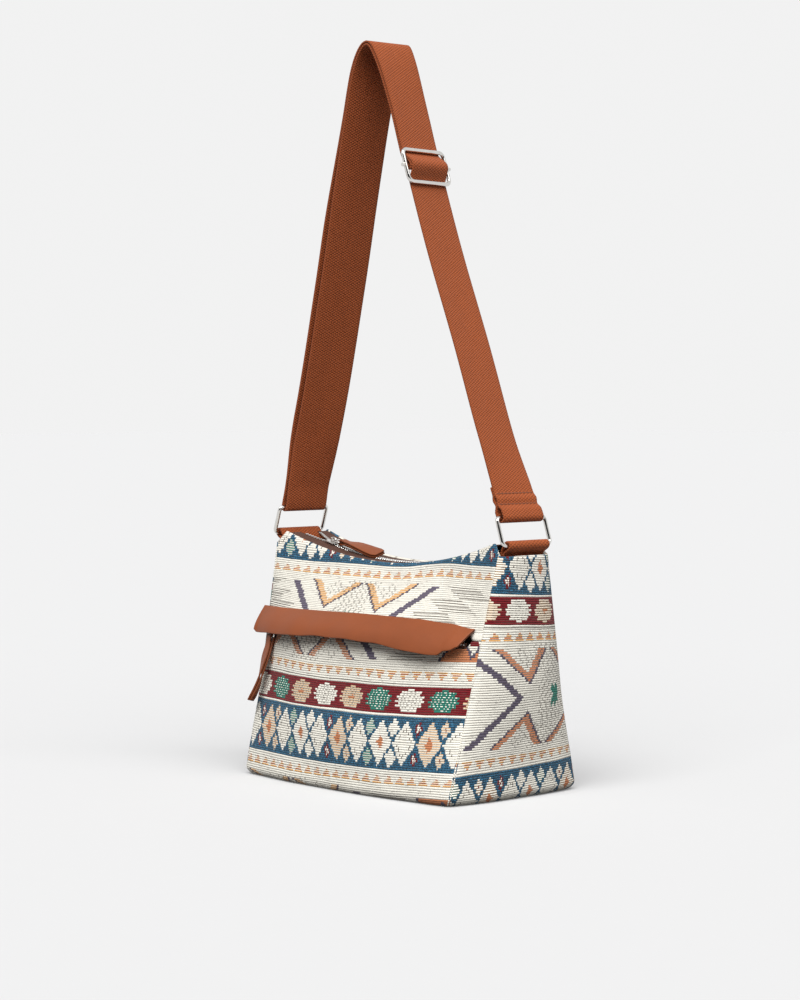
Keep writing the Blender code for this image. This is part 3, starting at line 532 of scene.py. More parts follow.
def red_band(tree, u, v, ground, rib):
    """Jagged oval rosettes in white, green and tan."""
    look = colours()
    place = (u - (ROSETTE_START - ROSETTE_PITCH / 2)) / ROSETTE_PITCH
    kind = place.floor().wrap(6.0)
    across = abs(place.fract() - 0.5) * ROSETTE_PITCH
    down = abs(v - (RED_BAND + RED_BAND_END) / 2)
    jag = (v / ROW).floor().wrap(2.0) * 2.0
    wide, tall = ROSETTE_HALF
    size = ((across + jag) / wide).power(2.0) + (down / tall).power(2.0)
    green = kind.near(1.0) + kind.near(5.0)
    tan = kind.near(2.0) + kind.near(4.0)
    fill = mixed(tree, tan * (rib * 0.6 + 0.4), look.cream, look.tan)
    fill = mixed(tree, green, fill, look.green)
    dash = (across * 0.36 + (v / ROW).floor() * 0.5).fract() < 0.34
    dash = dash * (rib > 0.5) * (size < 0.8)
    fill = mixed(tree, dash * (-green + 1.0) * 0.75, fill, look.fleck)
    fill = mixed(tree, dash * green, fill, look.cream)
    fill = mixed(tree, tan * (size < 0.07), fill, look.orange)
    return mixed(tree, size < 1.0, ground, fill)


def chevron_field(tree, u, v, ground, rib, smooth, shift):
    """The cream field: orange chevrons over their mirror images, slate ones and a green flower."""
    look = colours()
    front = shift == 0.0
    b = abs(v - FIELD_MIDDLE)
    if not front:
        u = u + shift - (b - 10.0) * SIDE_LEAN
    a = abs((u - FLOWER_PLACE + FIELD_PERIOD / 2).wrap(FIELD_PERIOD) - FIELD_PERIOD / 2)
    out = abs(a - CHEVRON_PLACE)
    arm = out - (b - CHEVRON_FOOT) * CHEVRON_SLOPE
    tall = b.between(9.0, 33.0)
    slate = abs(arm - 4.0) < 1.4
    orange = abs(arm) < CHEVRON_HALF
    colour = mixed(tree, slate * b.between(8.0, 33.0) * (out < 26.0), ground, look.slate)
    golden = (v < FIELD_MIDDLE) * float(front)
    arms = mixed(tree, golden, look.orange, GOLDEN)
    arms = mixed(tree, rib * 0.45, arms, look.cream)
    colour = mixed(tree, orange * tall, colour, arms)
    ticks = ((u * 0.36).fract() < 0.5) * (((v * 0.5).floor() * 0.5 + (u * 0.18)).fract() < 0.5)
    dots = (out / 11.0 + abs(b - 27.0) / 7.0).between(0.25, 1.0)
    haze = (a / 24.0 + b / 32.0 < 1.0) * (a < 20.0)
    shade = (a < 16.0) * (b > 17.0)
    colour = mixed(tree, ticks * dots.most(haze).most(shade) * 0.5, colour, look.fleck)
    chevron = (abs(a - b * 1.02 - SIDE_CHEVRON_PLACE) < SIDE_CHEVRON_HALF) * (b < 31.0)
    ribbed = mixed(tree, rib * 0.35, look.slate, *shades(look.slate, 2.4))
    colour = mixed(tree, chevron, colour, ribbed)
    petal = (a / 7.5 + b / 12.0 < 1.0) * (abs(a * 1.5 - b) < 4.6)
    colour = mixed(tree, petal, colour, look.green)
    group = b / 10.5
    slip = a - group.floor() * 10.3 + group.fract() * 16.0
    hatch = slip.between(*HATCH) * (b < 31.5) * ((smooth / 2.1).fract() < 0.32)
    colour = mixed(tree, hatch * (0.85 * front), colour, look.fleck)
    peak = abs(a - PEAK_PLACE) - (b - 12.0) * 0.62
    colour = mixed(tree, (peak < 2.2) * b.between(10.0, 31.0), colour, look.slate)
    colour = mixed(tree, (peak < 0.0) * b.between(12.0, 31.0), colour, look.orange)
    return mixed(tree, (a > SEAM_FLOWER) * (b < 20.0), colour, look.red)


def yarn_grain(tree, u, v, scale):
    """Noise drawn out along the rows, for slubs and stray dark yarn."""
    join = tree.nodes.new("ShaderNodeCombineXYZ")
    linked(tree, u * 0.22, join.inputs[0])
    linked(tree, v, join.inputs[1])
    return grain(tree, join.outputs[0], scale, 2.0)


def jacquard(name="woven_jacquard", shift=0.0):
    """Traditional bands of diamonds, rosettes, triangles and chevrons, stepped as a weave is."""
    look = colours()
    made, tree, shader = new_material(name)
    fine_u, fine_v = cloth_place(tree)
    thread = Number(tree, object_place(tree))
    sway = (yarn_grain(tree, fine_u, fine_v, 0.07) - 0.5) * 2.4
    rows = (fine_v + sway) / ROW
    jog = ((rows.floor() * 0.618).fract() - 0.5) * 1.5
    wander = (grain(tree, thread.source, 900.0, 1.0) - 0.5) * 0.9
    u = (fine_u + wander + jog).snap(WARP_STEP)
    v = (rows.floor() * ROW + ROW / 2).wrap(CLOTH_PERIOD)
    smooth = (fine_v + sway).wrap(CLOTH_PERIOD)
    rib = rows.fract() < RIB_SHARE
    slubs = yarn_grain(tree, fine_u, fine_v, 0.5)
    pale = mixed(tree, slubs, look.cream, *shades(look.cream, 0.93))
    speck = grain(tree, thread.source, 1300.0, 1.0)
    light_blue, dark_blue = shades(look.blue, 3.2, 0.3)
    blue = mixed(tree, (speck > 0.57) * 0.6, look.blue, light_blue)
    blue = mixed(tree, (speck < 0.40) * 0.6, blue, dark_blue)
    red = mixed(tree, (speck > 0.60) * 0.5, look.red, *shades(look.red, 1.9))
    colour = chevron_field(tree, u, v, pale, rib, smooth, shift)
    outside = abs(v - FIELD_MIDDLE) > FIELD_HALF
    colour = mixed(tree, outside, colour, pale)
    centred = u - DIAMOND_START + DIAMOND_PITCH / 4
    for start, upward in ((TRIANGLES_UP, True), (TRIANGLES_DOWN, False)):
        shown, dark = stepped_triangles(centred, smooth - start, upward)
        bar = mixed(tree, dark, look.orange, GOLDEN)
        colour = mixed(tree, shown, colour, bar)
    line = smooth.between(DARK_LINE, DARK_LINE + DARK_LINE_WIDTH)
    colour = mixed(tree, line * 0.7, colour, look.fleck)
    colour = mixed(tree, v < BLUE_BAND, colour, blue_band(tree, u, v, blue, rib))
    in_red = v.between(RED_BAND, RED_BAND_END)
    colour = mixed(tree, in_red, colour, red_band(tree, u, v, red, rib))
    # Painted shade: a dark line along the groove between each two ribs, shown in patches, standing
    # in for the shade that falls there.
    valley = abs(rows.fract() - 0.5) * 2.0
    wear_and_shade_patches = yarn_grain(tree, fine_u, fine_v, 0.32)
    painted_groove_shade = (valley > 0.60) * ((wear_and_shade_patches - 0.40) * 3.0).most(0.0).least(1.0)
    colour = mixed(tree, painted_groove_shade * 0.42, colour, *shades(look.fleck, 2.2))
    stray = (yarn_grain(tree, fine_u + 70.0, fine_v, 0.8) > 0.63) * (valley > 0.4)
    colour = mixed(tree, stray * 0.45, colour, look.fleck)
    surface(
        tree, shader, Base_Color=colour, Roughness=0.9, Specular_IOR_Level=0.2,
        Sheen_Weight=0.12, Sheen_Roughness=0.5,
    )
    ridges = abs((fine_u / 1.1 + rows.floor() * 0.5).fract() - 0.5)
    yarn = (-(valley * valley) + 1.0) + ridges * 0.9
    bumped(tree, shader, yarn + grain(tree, thread.source, 500.0, 2.0) * 0.7, 0.0005, 0.85)
    return made


def leather(name="leather", dark=1.0):
    look = colours()
    made, tree, shader = new_material(name)
    place = object_place(tree)
    deep, pale, pore = shades([c * dark for c in look.leather], 0.84, 1.18, 0.6)
    cloudy = grain(tree, place, 35.0, 4.0)
    colour = mixed(tree, (cloudy - 0.35) * 1.3, deep, pale)
    pores = grain(tree, place, 1800.0, 2.0)
    colour = mixed(tree, (pores > 0.62) * 0.10, colour, pore)
    surface(
        tree, shader, Base_Color=colour, Roughness=cloudy * 0.18 + 0.42, Specular_IOR_Level=0.32,
    )
    creases = grain(tree, place, 260.0, 5.0, 0.6)
    bumped(tree, shader, creases * 0.7 + pores * 0.3, 0.00025, 0.35)
    return made


def webbing():
    """Close plain-woven webbing with a firm selvedge."""
    look = colours()
    made, tree, shader = new_material("webbing")
    across, along = cloth_place(tree)
    place = object_place(tree)
    warp_pitch, weft_pitch = WEAVE_PITCH
    warp = abs((across / warp_pitch).fract() - 0.5) * 2.0
    shift = (across / warp_pitch).floor() * 0.5
    weft = abs((along / weft_pitch + shift).fract() - 0.5) * 2.0
    height = (-(warp * warp) + 1.0) * 0.35 + (-(weft * weft) + 1.0) * 0.8
    deep, pale, wear_and_shade_patches, firm = shades(look.webbing, 0.50, 1.30, 0.72, 0.6)
    # Painted shade and highlight: darker in the low places of the weave and lighter on its raised
    # yarns, as light falls on them.
    colour = mixed(tree, height * 0.8, deep, pale)
    colour = mixed(tree, (grain(tree, place, 140.0, 3.0) - 0.4) * 0.7, colour, wear_and_shade_patches)
    edge = abs(across) > WEBBING_WIDTH * 500 - SELVEDGE
    colour = mixed(tree, edge * 0.30, colour, firm)
    surface(
        tree, shader, Base_Color=colour, Roughness=0.78, Specular_IOR_Level=0.3, Sheen_Weight=0.06,
    )
    bumped(tree, shader, height, 0.0006, 0.8)
    return made


def woven_tape(name, tone, scale=1.0):
    made, tree, shader = new_material(name)
    place = object_place(tree)
    split = tree.nodes.new("ShaderNodeSeparateXYZ")
    tree.links.new(place, split.inputs[0])
    x = Number(tree, split.outputs[0])
    y = Number(tree, split.outputs[1])
    height = (x * (5200.0 * scale)).sine() * 0.5 + (y * (4300.0 * scale)).sine() * 0.5
    deep, pale = shades(tone, 0.7, 1.2)
    # Painted shade and highlight: darker in the low places of the weave and lighter on its raised
    # threads, as light falls on them.
    colour = mixed(tree, height * 0.5 + 0.5, deep, pale)
    colour = mixed(tree, grain(tree, place, 80.0) * 0.4, colour, deep)
    surface(tree, shader, Base_Color=colour, Roughness=0.85)
    bumped(tree, shader, height, 0.0002, 0.5)
    return made


def nickel():
    made, tree, shader = new_material("nickel")
    place = object_place(tree)
    rubbed = grain(tree, place, 220.0, 4.0)
    colour = mixed(tree, rubbed, *NICKEL_TONES)
    surface(tree, shader, Base_Color=colour, Metallic=1.0, Roughness=rubbed * 0.10 + 0.07)
    bumped(tree, shader, grain(tree, place, 900.0, 2.0), 0.00005, 0.15)
    return made


def thread_look(name, tone):
    made, tree, shader = new_material(name)
    place = object_place(tree)
    colour = mixed(tree, grain(tree, place, 1500.0, 2.0), *shades(tone, 0.7), tone)
    surface(tree, shader, Base_Color=colour, Roughness=0.7)
    return made


FINISHES = {}


def finish_named(name):
    """Each finish is made once, when the first piece asks for it."""
    makers = {
        "jacquard": jacquard,
        "jacquard_side": lambda: jacquard("woven_jacquard_side", SIDE_SHIFT),
        "leather": leather,
        "leather_edge": lambda: leather("leather_edge", 0.62),
        "webbing": webbing,
        "lining": lambda: woven_tape("lining_cloth", LINING_TONE, 0.5),
        "tape": lambda: woven_tape("zip_tape", TAPE_TONE),
        "nickel": nickel,
        "thread": lambda: thread_look("thread", THREAD_TONE),
    }
    if name not in FINISHES:
        FINISHES[name] = makers[name]()
    return FINISHES[name]


# Pieces


def piece(name, bm, finish, body, replaces=(), smooth=35.0):
    """Makes a finished object from a bmesh, hung on its body."""
    mesh = bpy.data.meshes.new(name)
    bm.to_mesh(mesh)
    bm.free()
    mesh.shade_smooth()
    mesh.set_sharp_from_angle(angle=math.radians(smooth))
    mesh.materials.append(finish_named(finish))
    obj = bpy.data.objects.new(name, mesh)
    bpy.context.collection.objects.link(obj)
    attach(obj, body)
    if replaces:
        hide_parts(*replaces)
    return obj


def grid_bm(count_u, count_v):
    """A flat grid from -1 to 1 both ways."""
    bm = bmesh.new()
    bmesh.ops.create_grid(bm, x_segments=count_u, y_segments=count_v, size=1.0)
    return bm


def absorb(bm, single):
    """Takes the faces of one bmesh into another."""
    mesh = bpy.data.meshes.new("single")
    single.to_mesh(mesh)
    single.free()
    bm.from_mesh(mesh)
    bpy.data.meshes.remove(mesh)


def thicken(obj, thickness, offset=-1.0, cut_finish=None):
    """Gives a sheet its thickness, inwards unless told otherwise, and its cut edge a finish."""
    wall = obj.modifiers.new("wall", "SOLIDIFY")
    wall.thickness = thickness
    wall.offset = offset
    if cut_finish:
        obj.data.materials.append(finish_named(cut_finish))
        wall.material_offset_rim = 1


def soften(obj, width):
    """Rounds the sharp edges a little."""
    edge = obj.modifiers.new("edge", "BEVEL")
    edge.width = width
    edge.segments = 2
    edge.limit_method = "ANGLE"
    edge.angle_limit = math.radians(50)


def sag(z):
    """How far the stuffed cloth has settled outwards near the ground, from 1 at the base to 0."""
    return 1 - ease(z / SAG_HEIGHT)


def half_length(z):
    return lerp(BASE_LENGTH, TOP_LENGTH, z / GUSSET_HEIGHT) / 2 + SAG_SIDE * sag(z)


def half_depth(z):
    return lerp(BASE_DEPTH, TOP_DEPTH, z / GUSSET_HEIGHT) / 2 + SAG_FRONT * sag(z)


def face_bulge(z):
    low = lerp(FACE_BULGE_BASE, FACE_BULGE_MIDDLE, ease(z / FACE_BULGE_START))
    fall = ease((z - FACE_BULGE_END) / (RIM_MIDDLE_HEIGHT - FACE_BULGE_END))
    return lerp(low, FACE_BULGE_RIM, fall)


def gusset_bulge(z):
    half = GUSSET_HEIGHT / 2
    if z < half:
        return lerp(GUSSET_BULGE_BASE, GUSSET_BULGE_MIDDLE, ease(z / half))
    return lerp(GUSSET_BULGE_MIDDLE, GUSSET_BULGE_TOP, ease((z - half) / half))


def crown(u, power):
    return 1 - min(abs(u), 1.0) ** power


def face_depth(x, z):
    return half_depth(z) + face_bulge(z) * crown(x / half_length(z), FACE_POWER)


def rim_height(x):
    arc = ZIP_CENTRE_Z - math.sqrt(RIM_RADIUS ** 2 - min(abs(x), RIM_HALF_CHORD) ** 2)
    ear = lerp(GUSSET_HEIGHT, EAR_HEIGHT, (TOP_LENGTH / 2 - abs(x)) / EAR_RUN)
    return min(arc, max(ear, GUSSET_HEIGHT))


def lump(x, y, z, fade):
    """A small soft wander of the stuffed cloth, the same for the same place."""
    wide = noise.noise(Vector((x, y, z)) * 22.0)
    close = noise.noise(Vector((x, y, z)) * 62.0 + Vector((7.0, 0, 0)))
    return (wide + close * 0.35) * sizes().cloth_lumps * fade


def edge_roll(distance):
    """How far the cloth turns in near a seam at this distance."""
    return sizes().seam_roll * (1 - ease(distance / SEAM_ROLL_REACH)) ** 2


def wall_drop(t, foot_share, top):
    """Inset and height up a wall that starts with a rounded foot."""
    if t < foot_share:
        angle = t / foot_share * math.pi / 2
        return FOOT_RADIUS * (1 - math.sin(angle)), FOOT_RADIUS * (1 - math.cos(angle))
    return 0.0, lerp(FOOT_RADIUS, top, (t - foot_share) / (1 - foot_share))


def face_point(side, u, z, inset, roll_up):
    """A point of the front or back face, with its soft lumps and the turn-in at its seams."""
    reach = half_length(z) - inset - SEAM / 2
    x = u * reach
    edge = (1 - abs(u)) * reach
    fade = ease(edge / 0.02)
    y = half_depth(z) - inset + face_bulge(z) * crown(u, FACE_POWER)
    y += lump(x, side, z, fade) - edge_roll(min(edge, roll_up))
    return Vector((x, side * y, z))


def arc_table(profile, steps=80):
    """Length along a profile of points, as a function of its share."""
    points = [profile(i / steps) for i in range(steps + 1)]
    lengths = [0.0]
    for a, b in zip(points, points[1:]):
        lengths.append(lengths[-1] + (b - a).length)

    def at(t):
        place = min(max(t, 0.0), 1.0) * steps
        index = min(int(place), steps - 1)
        return lerp(lengths[index], lengths[index + 1], place - index) * 1000

    return at


def row_rise(x):
    """How far the woven rows climb from level along the pocket, in millimetres."""
    return 16.0 * x + 140.0 * x * x


def cloth_sheet(name, node, place, mapping, outward, count_u, count_v):
    """A panel: a grid laid on the outer face, mapped as cloth, then given its thickness inwards."""
    bm = grid_bm(count_u, count_v)
    layer = bm.loops.layers.uv.new("cloth")
    for face in bm.faces:
        for loop in face.loops:
            loop[layer].uv = mapping(loop.vert.co.x, (loop.vert.co.y + 1) / 2)
    for vert in bm.verts:
        vert.co = place(vert.co.x, (vert.co.y + 1) / 2)
    bm.normal_update()
    middle = bm.faces[:][len(bm.faces) // 2 + count_u // 2]
    if middle.normal.dot(outward) < 0:
        bmesh.ops.reverse_faces(bm, faces=bm.faces[:])
    obj = piece(name, bm, "jacquard", "bag", [node], 50.0)
    thicken(obj, PANEL * 0.9)
    return obj


def slit_half(u):
    """Half the height of the slit for the pocket zip. It closes beyond the zip's ends."""
    x = abs(u) * half_length(POCKET_ZIP_HEIGHT)
    closed = ease((x - POCKET_ZIP_HALF - POCKET_SLIT_END) / POCKET_SLIT_CLOSE)
    return lerp(POCKET_SLIT, SEAM, closed) / 2


def rim_pull(x, z):
    """How far the gathered rim drags the woven rows of the upper panel up, in millimetres."""
    near_rim = ease((z - 0.116) / 0.028)
    right = 3.6 * ease((x - 0.018) / 0.05) * near_rim
    return right - 1.8 * (1 - ease(x / 0.04)) * ease((x + 0.118) / 0.05)


def front_upper_cloth():
    bottom = POCKET_ZIP_HEIGHT + POCKET_SLIT / 2

    def level(u, t):
        return lerp(POCKET_ZIP_HEIGHT + slit_half(u), rim_height(u * TOP_LENGTH / 2), t)

    def place(u, t):
        z = level(u, t)
        top = rim_height(u * TOP_LENGTH / 2)
        return face_point(-1, u, z, 0.0, (top - z) * 1.2)

    def profile(t):
        z = lerp(bottom, EAR_HEIGHT, t)
        return Vector((0, face_depth(0, z), z))

    down = arc_table(profile)
    span = EAR_HEIGHT - bottom
    blue_edge = down((BLUE_BAND_HEIGHT - bottom) / span)

    def mapping(u, t):
        z = level(u, t)
        x = u * half_length(z)
        row = BLUE_BAND + blue_edge - down((z - bottom) / span) + rim_pull(x, z)
        return (x * 1000 - UPPER_SHIFT, row)

    outward = Vector((0, -1, 0.4))
    cloth_sheet("front_upper_cloth", "front_upper_panel", place, mapping, outward, 120, 40)


def pocket_cloth():
    top = POCKET_ZIP_HEIGHT - POCKET_SLIT / 2

    def raised(u, t):
        share = (t - POCKET_SLIT_SHARE) / (1 - POCKET_SLIT_SHARE)
        return ease(share) * (POCKET_SLIT / 2 - slit_half(u))

    def place(u, t):
        inset, z = wall_drop(t, POCKET_FOOT_SHARE, top)
        return face_point(-1, u, z + raised(u, t), inset, 1.0)

    def profile(t):
        inset, z = wall_drop(t, POCKET_FOOT_SHARE, top)
        return Vector((0, face_depth(0, z) - inset, z))

    up = arc_table(profile)
    foot_length = FOOT_RADIUS * math.pi / 2 * 1000

    def mapping(u, t):
        x = u * half_length(0.06)
        z = up(t) - foot_length + FOOT_RADIUS * 1000
        return (x * 1000, POCKET_ROW - z - raised(u, t) * 1000 + row_rise(x))

    cloth_sheet("pocket_cloth", "pocket_panel", place, mapping, Vector((0, -1, 0)), 120, 64)


def back_cloth():
    def place(u, t):
        top = rim_height(u * TOP_LENGTH / 2)
        inset, z = wall_drop(t, BACK_FOOT_SHARE, top)
        return face_point(1, u, z, inset, (top - z) * 1.2)

    def mapping(u, t):
        inset, z = wall_drop(t, BACK_FOOT_SHARE, rim_height(u * TOP_LENGTH / 2))
        x = u * half_length(z)
        return (-x * 1000 + BACK_SHIFT, BACK_ROW - (z - inset) * 1060)

    cloth_sheet("back_cloth", "back_panel", place, mapping, Vector((0, 1, 0)), 120, 80)


def gusset_cloth(label, side):
    def place(u, t):
        inset, z = wall_drop(t, GUSSET_FOOT_SHARE, GUSSET_HEIGHT)
        reach = half_depth(z) - inset - SEAM / 2
        y = u * reach
        edge = (1 - abs(u)) * reach
        x = half_length(z) - inset + gusset_bulge(z) * crown(u, GUSSET_POWER)
        fade = ease(edge / 0.015) * ease((GUSSET_HEIGHT - z) / 0.02)
        x += lump(side, y, z, fade) - edge_roll(edge)
        return Vector((side * x, y, z))

    def mapping(u, t):
        inset, z = wall_drop(t, GUSSET_FOOT_SHARE, GUSSET_HEIGHT)
        y = u * half_depth(z) * 1080 * side
        height = z * 1000 - inset * 600
        lean = 0.06 * y * (height - 60) / 77
        return (-y - GUSSET_SHIFT, height + lean - GUSSET_ROW)

    name = label + "_gusset"
    made = cloth_sheet(label + "_gusset_cloth", name, place, mapping, Vector((side, 0, 0)), 60, 80)
    made.data.materials[0] = finish_named("jacquard_side")


def base_cloth():
    def place(u, t):
        q = 2 * t - 1
        reach_x = half_length(0) - FOOT_RADIUS - SEAM / 2
        reach_y = half_depth(0) - FOOT_RADIUS - SEAM / 2
        x = u * (reach_x + gusset_bulge(0) * crown(q, GUSSET_POWER))
        y = q * (reach_y + face_bulge(0) * crown(u, FACE_POWER))
        return Vector((x, y, 0.0))

    def mapping(u, t):
        return (u * half_length(0) * 1000, BASE_ROW - (2 * t - 1) * 52.0)

    cloth_sheet("base_cloth", "base_panel", place, mapping, Vector((0, 0, -1)), 60, 30)


def placket_leather():
    """The flap: a grid with a round slanted end and a wavy free edge, as thick as leather."""
    left = -half_length(PLACKET_TOP) - PLACKET_LEFT_OVERHANG
    right = half_length(PLACKET_TOP) - PLACKET_RIGHT_INSET
    bm = grid_bm(140, 14)
    for vert in bm.verts:
        u, v = vert.co.x, (1 - vert.co.y) / 2
        wave = 0.0003 * math.sin(u * 9.0 + 0.6) + 0.00025 * math.sin(u * 21.0)
        top = blend_list(PLACKET_TOP_EDGE, u)
        low = blend_list(PLACKET_LOW_EDGE, u)
        x = lerp(left, right - PLACKET_END_SLANT * v, (u + 1) / 2)
        corner = (ease((u - 0.95) / 0.05) + ease((-0.97 - u) / 0.03)) * v ** 4
        z = PLACKET_TOP - PLACKET_DROP * v + lerp(top, low, v)
        z = z + wave * v + corner * PLACKET_CORNER
        stand = SEAM + (PLACKET_STANDOFF - SEAM) * math.sin(v * math.pi / 2) + wave * v
        y = face_depth(x, z) + stand + PLACKET_THICKNESS
        vert.co = Vector((x, -y, z))
    bm.normal_update()
    if bm.faces[:][len(bm.faces) // 2].normal.y > 0:
        bmesh.ops.reverse_faces(bm, faces=bm.faces[:])
    obj = piece("placket_leather", bm, "leather", "bag", ["placket"])
    thicken(obj, PLACKET_THICKNESS, cut_finish="leather_edge")
    soften(obj, 0.0003)


# Linings


def lining_offset(z):
    over_pocket = ease((POCKET_ZIP_HEIGHT + 2 * POCKET_SLIT - z) / (2 * POCKET_SLIT))
    return PANEL + LINING_EASE + LINING_POCKET_EASE * over_pocket


def pocket_offset(z):
    closing_top = ease((POCKET_ZIP_HEIGHT + POCKET_SLIT / 2 - z) / POCKET_SLIT)
    closing_low = ease((z - FOOT_RADIUS) / FOOT_RADIUS)
    return PANEL + 3 * SEAM + POCKET_DEPTH * min(closing_top, closing_low)


def inner_bag():
    """The lining: a fine box without a lid, drawn over the inside of the walls, a little slack."""
    bm = bmesh.new()
    bmesh.ops.create_cube(bm, size=2.0)
    lid = [face for face in bm.faces if face.normal.z > 0.9]
    bmesh.ops.delete(bm, geom=lid, context="FACES")
    bmesh.ops.subdivide_edges(bm, edges=bm.edges[:], cuts=23, use_grid_fill=True)
    floor = PANEL + LINING_EASE
    for vert in bm.verts:
        u, q, v = vert.co.x, vert.co.y, (vert.co.z + 1) / 2
        z = lerp(floor, rim_height(u * TOP_LENGTH / 2) - LINING_TOP_DROP, v)
        side_inset = PANEL + LINING_EASE + FOOT_RADIUS * (1 - ease(v * 6)) / 2
        front_inset = max(side_inset, lining_offset(z)) if q < 0 else side_inset
        slack = abs(noise.noise(Vector((u * 5.0, q * 3.0, v * 4.0)))) * LINING_SLACK
        slack = slack * ease(v * 4) * (1 - v ** 6)
        x = u * (half_length(z) - side_inset - slack)
        y = q * (half_depth(z) - front_inset - slack)
        x += gusset_bulge(z) * crown(q, GUSSET_POWER) * math.copysign(u ** 8, u)
        y += face_bulge(z) * crown(u, FACE_POWER) * math.copysign(q ** 8, q)
        vert.co = Vector((x, y, z))
    bmesh.ops.recalc_face_normals(bm, faces=bm.faces[:])
    thicken(piece("lining_bag", bm, "lining", "bag", ["lining"], 60.0), LINING)


def pocket_bag():
    low = FOOT_RADIUS + POCKET_HEM
    high = POCKET_ZIP_HEIGHT + POCKET_BACK_RISE
    bm = grid_bm(60, 30)
    for vert in bm.verts:
        z = lerp(low, high, (vert.co.y + 1) / 2)
        x = vert.co.x * (half_length(z) - POCKET_MARGIN)
        slack = noise.noise(Vector((x, 0, z)) * 30.0) * POCKET_BACK_SLACK
        slack = slack * crown(vert.co.x, 4) * crown(vert.co.y, 4)
        vert.co = Vector((x, pocket_offset(z) + slack - face_depth(x, z), z))
    bm.normal_update()
    obj = piece("pocket_bag", bm, "lining", "bag", ["pocket_back"], 60.0)
    thicken(obj, LINING, 0.0)


# Wire and strips


def tube_bm(points, radius, closed=True, sides=6):
    """A round wire through the points, as a bmesh."""
    curve = bpy.data.curves.new("wire", "CURVE")
    curve.dimensions = "3D"
    curve.bevel_depth = radius
    curve.bevel_resolution = sides
    curve.use_fill_caps = True
    spline = curve.splines.new("POLY")
    spline.points.add(len(points) - 1)
    for point, place in zip(spline.points, points):
        point.co = (*place, 1.0)
    spline.use_cyclic_u = closed
    holder = bpy.data.objects.new("wire", curve)
    mesh = bpy.data.meshes.new_from_object(holder)
    bpy.data.objects.remove(holder)
    bm = bmesh.new()
    bm.from_mesh(mesh)
    bpy.data.meshes.remove(mesh)
    return bm


def turned(bm, matrix):
    bmesh.ops.transform(bm, matrix=matrix, verts=bm.verts[:])
    return bm


def add_box(bm, low, high, round_by, segments=2):
    """A box with rounded edges, added to a bmesh, its edges in the same order each run."""
    made = bmesh.ops.create_cube(bm, size=1.0)["verts"]
    low, high = Vector(low), Vector(high)
    bmesh.ops.scale(bm, vec=high - low, verts=made)
    bmesh.ops.translate(bm, vec=(low + high) / 2, verts=made)
    edges = list(dict.fromkeys(edge for vert in made for edge in vert.link_edges))
    bmesh.ops.bevel(
        bm, geom=made + edges, offset=round_by, segments=segments, affect="EDGES",
        profile=0.5, material=-1,
    )


def rounded_loop(half_a, half_b, radius, steps=8):
    points = []
    for sign_a, sign_b, start in ((1, 1, 0), (-1, 1, 90), (-1, -1, 180), (1, -1, 270)):
        for step in range(steps + 1):
            angle = math.radians(start + 90 * step / steps)
            a = sign_a * (half_a - radius) + radius * math.cos(angle)
            b = sign_b * (half_b - radius) + radius * math.sin(angle)
            points.append((a, b))
    return points


def turn_angles(start, stop, steps):
    return [math.radians(lerp(start, stop, i / steps)) for i in range(steps + 1)]


def route_normals(route):
    normals = []
    for i in range(len(route)):
        along = (route[min(i + 1, len(route) - 1)] - route[max(i - 1, 0)]).normalized()
        normals.append(Vector((-along.y, along.x)))
    return normals


def strip(name, route, half_width, thickness, finish, body, node, shape, cut_finish=None):
    """A flat strip along a route in X and Z, its width along Y, mapped in millimetres."""
    last = len(route) - 1
    bm = grid_bm(last, 12)
    distance = [0.0]
    for a, b in zip(route, route[1:]):
        distance.append(distance[-1] + (b - a).length * 1000)
    layer = bm.loops.layers.uv.new("cloth")
    for face in bm.faces:
        for loop in face.loops:
            index = round((loop.vert.co.x + 1) / 2 * last)
            loop[layer].uv = (loop.vert.co.y * half_width(route[index]) * 1000, distance[index])
    for vert in bm.verts:
        point = route[round((vert.co.x + 1) / 2 * last)]
        vert.co = shape(Vector((point.x, vert.co.y * half_width(point), point.y)))
    bm.normal_update()
    obj = piece(name, bm, finish, body, [node], 60.0)
    thicken(obj, thickness, 0.0, cut_finish)
    soften(obj, thickness * 0.3)


# Zips


def frame_matrix(centre, along, across, up):
    return Matrix.Translation(centre) @ Matrix((along, across, up)).transposed().to_4x4()


def arc_frame(x):
    """Frame of the top chain at a place along the bag: along the chain, across, and up."""
    angle = math.asin(x / CHAIN_RADIUS)
    along = Vector((math.cos(angle), 0, math.sin(angle)))
    up = Vector((-math.sin(angle), 0, math.cos(angle)))
    return Vector((0, 0, ZIP_CENTRE_Z)) - up * CHAIN_RADIUS, along, Vector((0, 1, 0)), up


def mouth_offset(x):
    start = TOP_SLIDER_X - SLIDER_LENGTH / 2
    return MOUTH_SPREAD * max(0.0, (x - start) / (-TOP_ZIP_HALF - start))


def pocket_chain():
    middle = face_depth(0.0, POCKET_ZIP_HEIGHT) - PANEL / 2
    fall = middle - (face_depth(POCKET_ZIP_HALF, POCKET_ZIP_HEIGHT) - PANEL / 2)
    radius = (POCKET_ZIP_HALF ** 2 + fall ** 2) / (2 * fall)
    return radius, radius - middle


def pocket_frame(x):
    """Frame of the pocket chain: along it, up the sloping face, and out of the face."""
    radius, centre_y = pocket_chain()
    angle = math.asin(x / radius)
    out_flat = Vector((math.sin(angle), -math.cos(angle), 0))
    along = Vector((math.cos(angle), math.sin(angle), 0))
    slope = math.atan2((BASE_DEPTH - TOP_DEPTH) / 2, GUSSET_HEIGHT)
    up = Vector((0, 0, math.cos(slope))) - out_flat * math.sin(slope)
    out = out_flat * math.cos(slope) + Vector((0, 0, math.sin(slope)))
    return Vector((0, centre_y, POCKET_ZIP_HEIGHT)) + out_flat * radius, along, up, out


